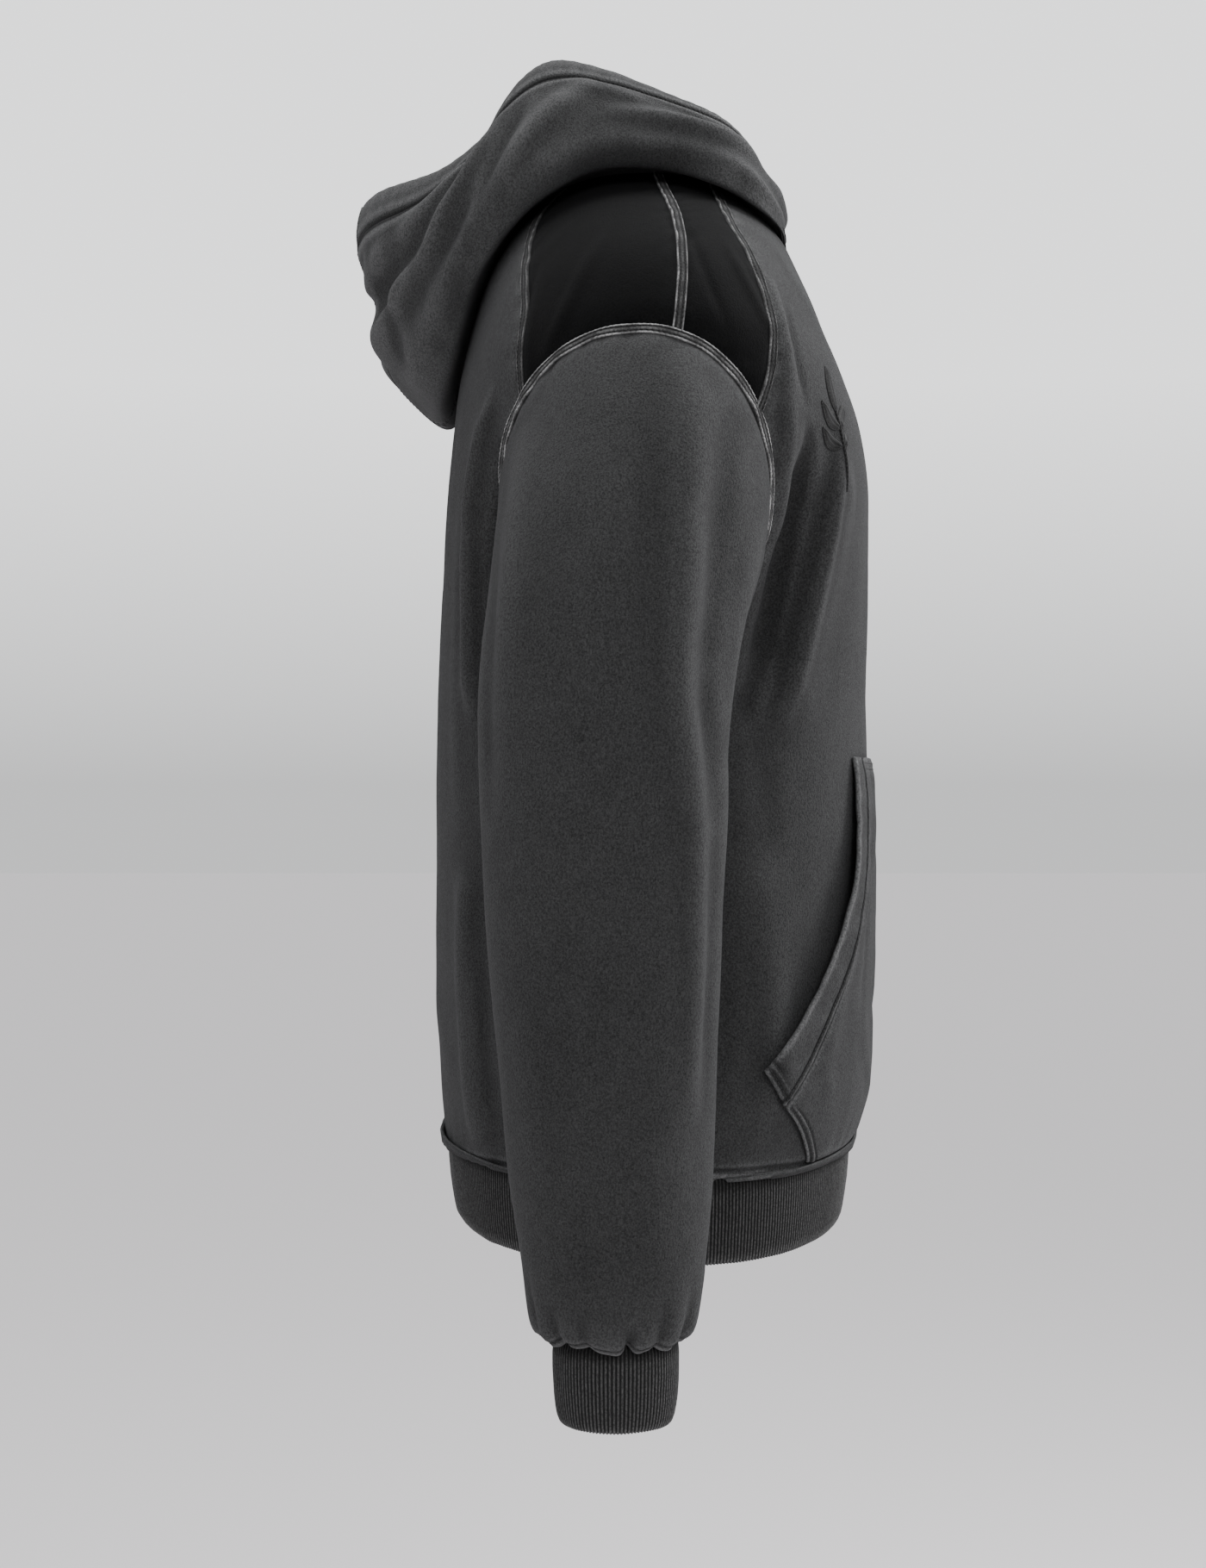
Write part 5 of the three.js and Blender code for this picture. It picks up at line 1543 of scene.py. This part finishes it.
fleece = cloth_material("washed_fleece", 0.0055, 0.052, 0.150, mottle=0.8, grain=1.1, warm=-0.01)
hood_fleece = cloth_material("washed_fleece_hood", 0.0060, 0.058, 0.190, mottle=1.3, grain=1.1, warm=-0.01)
insert_cloth = cloth_material("dark_insert_cloth", 0.0012, 0.0048, 0.020, mottle=0.5, grain=0.7, nap=0.5,
                              roughness=0.9, sheen=0.015, warm=-0.03, gleam=0.05)
rib = cloth_material("rib_knit", 0.0060, 0.034, 0.150, mottle=0.5, grain=0.8, nap=0.6)
# Its pale tone serves the seams' abraded edges and the painted highlight on them.
seam_cloth = cloth_material("worn_seam", 0.0060, 0.032, 0.480, mottle=0.5, grain=0.9, nap=0.7,
                            wear_and_highlight_gain=1.1)
thread = cloth_material("charcoal_thread", 0.0100, 0.030, 0.070, mottle=0.5, grain=0.6, nap=0.2,
                        roughness=0.8)


# ---------- what each piece looks like and stands for ----------
# How a piece's name starts, its material, and its slot where it replaces a solid.
LOOKS = (
    ("cloth_front_insert", insert_cloth, "dark_cloth"),
    ("cloth_back_insert", insert_cloth, "dark_cloth"),
    ("cloth_hood", hood_fleece, "washed_fleece"),
    ("cloth_", fleece, "washed_fleece"),
    ("knit_", rib, "rib_knit"),
    ("seam_", seam_cloth, "worn_seam"),
    ("thread_", thread, None),
    ("stitched_", thread, None),
)


def solid_of(name):
    """The part's solid that a piece replaces."""
    kind, rest = name.split("_", 1)
    if kind == "seam":
        rest, side_name = rest.rsplit("_", 1)
        return f"{rest}_seam_{side_name}"
    return rest.replace("hood_rim", "hood_rim_hem")


pieces = [piece for piece in bpy.context.scene.collection.objects
          if piece.type == "MESH" and piece.name.startswith(tuple(start for start, _, _ in LOOKS))]
for piece in pieces:
    look, slot = next(rest for start, *rest in LOOKS if piece.name.startswith(start))
    piece.data.materials.append(look)
    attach(piece, BODY)
    if slot:
        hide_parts(solid_of(piece.name))


# ---------- floor, light and camera ----------
PHOTO_HEIGHT = 1820.0
FOCAL_IN_PIXELS = 3060.0
FILM = 36.0
FLOOR_HALF = 30.0           # metres, like the rest of the studio
FLOOR_Z = -1.45

floor_mesh = bpy.data.meshes.new("floor")
corners = [(x * FLOOR_HALF, y * FLOOR_HALF, FLOOR_Z) for x, y in ((-1, -1), (1, -1), (1, 1), (-1, 1))]
floor_mesh.from_pydata(corners, [], [(0, 1, 2, 3)])
floor = bpy.data.objects.new("floor", floor_mesh)
bpy.context.scene.collection.objects.link(floor)
floor_look = bpy.data.materials.new("pale_floor")
floor_look.use_nodes = True
floor_shader = floor_look.node_tree.nodes["Principled BSDF"]
floor_shader.inputs["Base Color"].default_value = (0.74, 0.72, 0.73, 1.0)
floor_shader.inputs["Roughness"].default_value = 0.9
floor_shader.inputs["Specular IOR Level"].default_value = 0.1
floor_mesh.materials.append(floor_look)

world = bpy.data.worlds.new("studio")
bpy.context.scene.world = world
world.use_nodes = True
sky = world.node_tree
background = sky.nodes["Background"]
background.inputs["Color"].default_value = (0.985, 0.99, 1.0, 1.0)
direction = add_node(sky, "ShaderNodeTexCoord").outputs["Generated"]
parts = add_node(sky, "ShaderNodeSeparateXYZ", Vector=direction)
studio_wall = levels(sky, parts.outputs["X"], -0.4, 0.8, 0.40, 1.0)
upward = levels(sky, parts.outputs["Z"], 0.0, 0.15, 0.80, 1.80)
sky.links.new(maths(sky, "MULTIPLY", studio_wall, upward), background.inputs["Strength"])


AIM = (0.0, 0.0, -0.35)     # the middle of the hoodie


def soft_light(name, place, size, power):
    lamp = bpy.data.lights.new(name, "AREA")
    lamp.shape = "RECTANGLE"
    lamp.size, lamp.size_y = size
    lamp.energy = power
    holder = bpy.data.objects.new(name, lamp)
    holder.location = place
    holder.rotation_euler = (Vector(AIM) - Vector(place)).to_track_quat("-Z", "Y").to_euler()
    bpy.context.scene.collection.objects.link(holder)


soft_light("overhead", (0.1, -0.1, 1.8), (1.2, 1.2), 40.0)
soft_light("front_softbox", (0.7, -2.1, 0.7), (0.9, 1.6), 64.0)
soft_light("back_softbox", (0.9, 2.1, 0.5), (0.9, 1.6), 2.5)
soft_light("camera_side", (-2.5, -0.7, 0.9), (0.9, 0.9), 26.0)

camera_data = bpy.data.cameras.new("photo_camera")
camera_data.sensor_width = FILM
camera_data.lens = FOCAL_IN_PIXELS * FILM / PHOTO_HEIGHT
camera_data.clip_end = 100.0
camera = bpy.data.objects.new("photo_camera", camera_data)
camera.location = (-1.700, 0.031, -0.378)
camera.rotation_euler = (math.pi / 2, 0.0, -math.pi / 2)
bpy.context.scene.collection.objects.link(camera)
bpy.context.scene.camera = camera
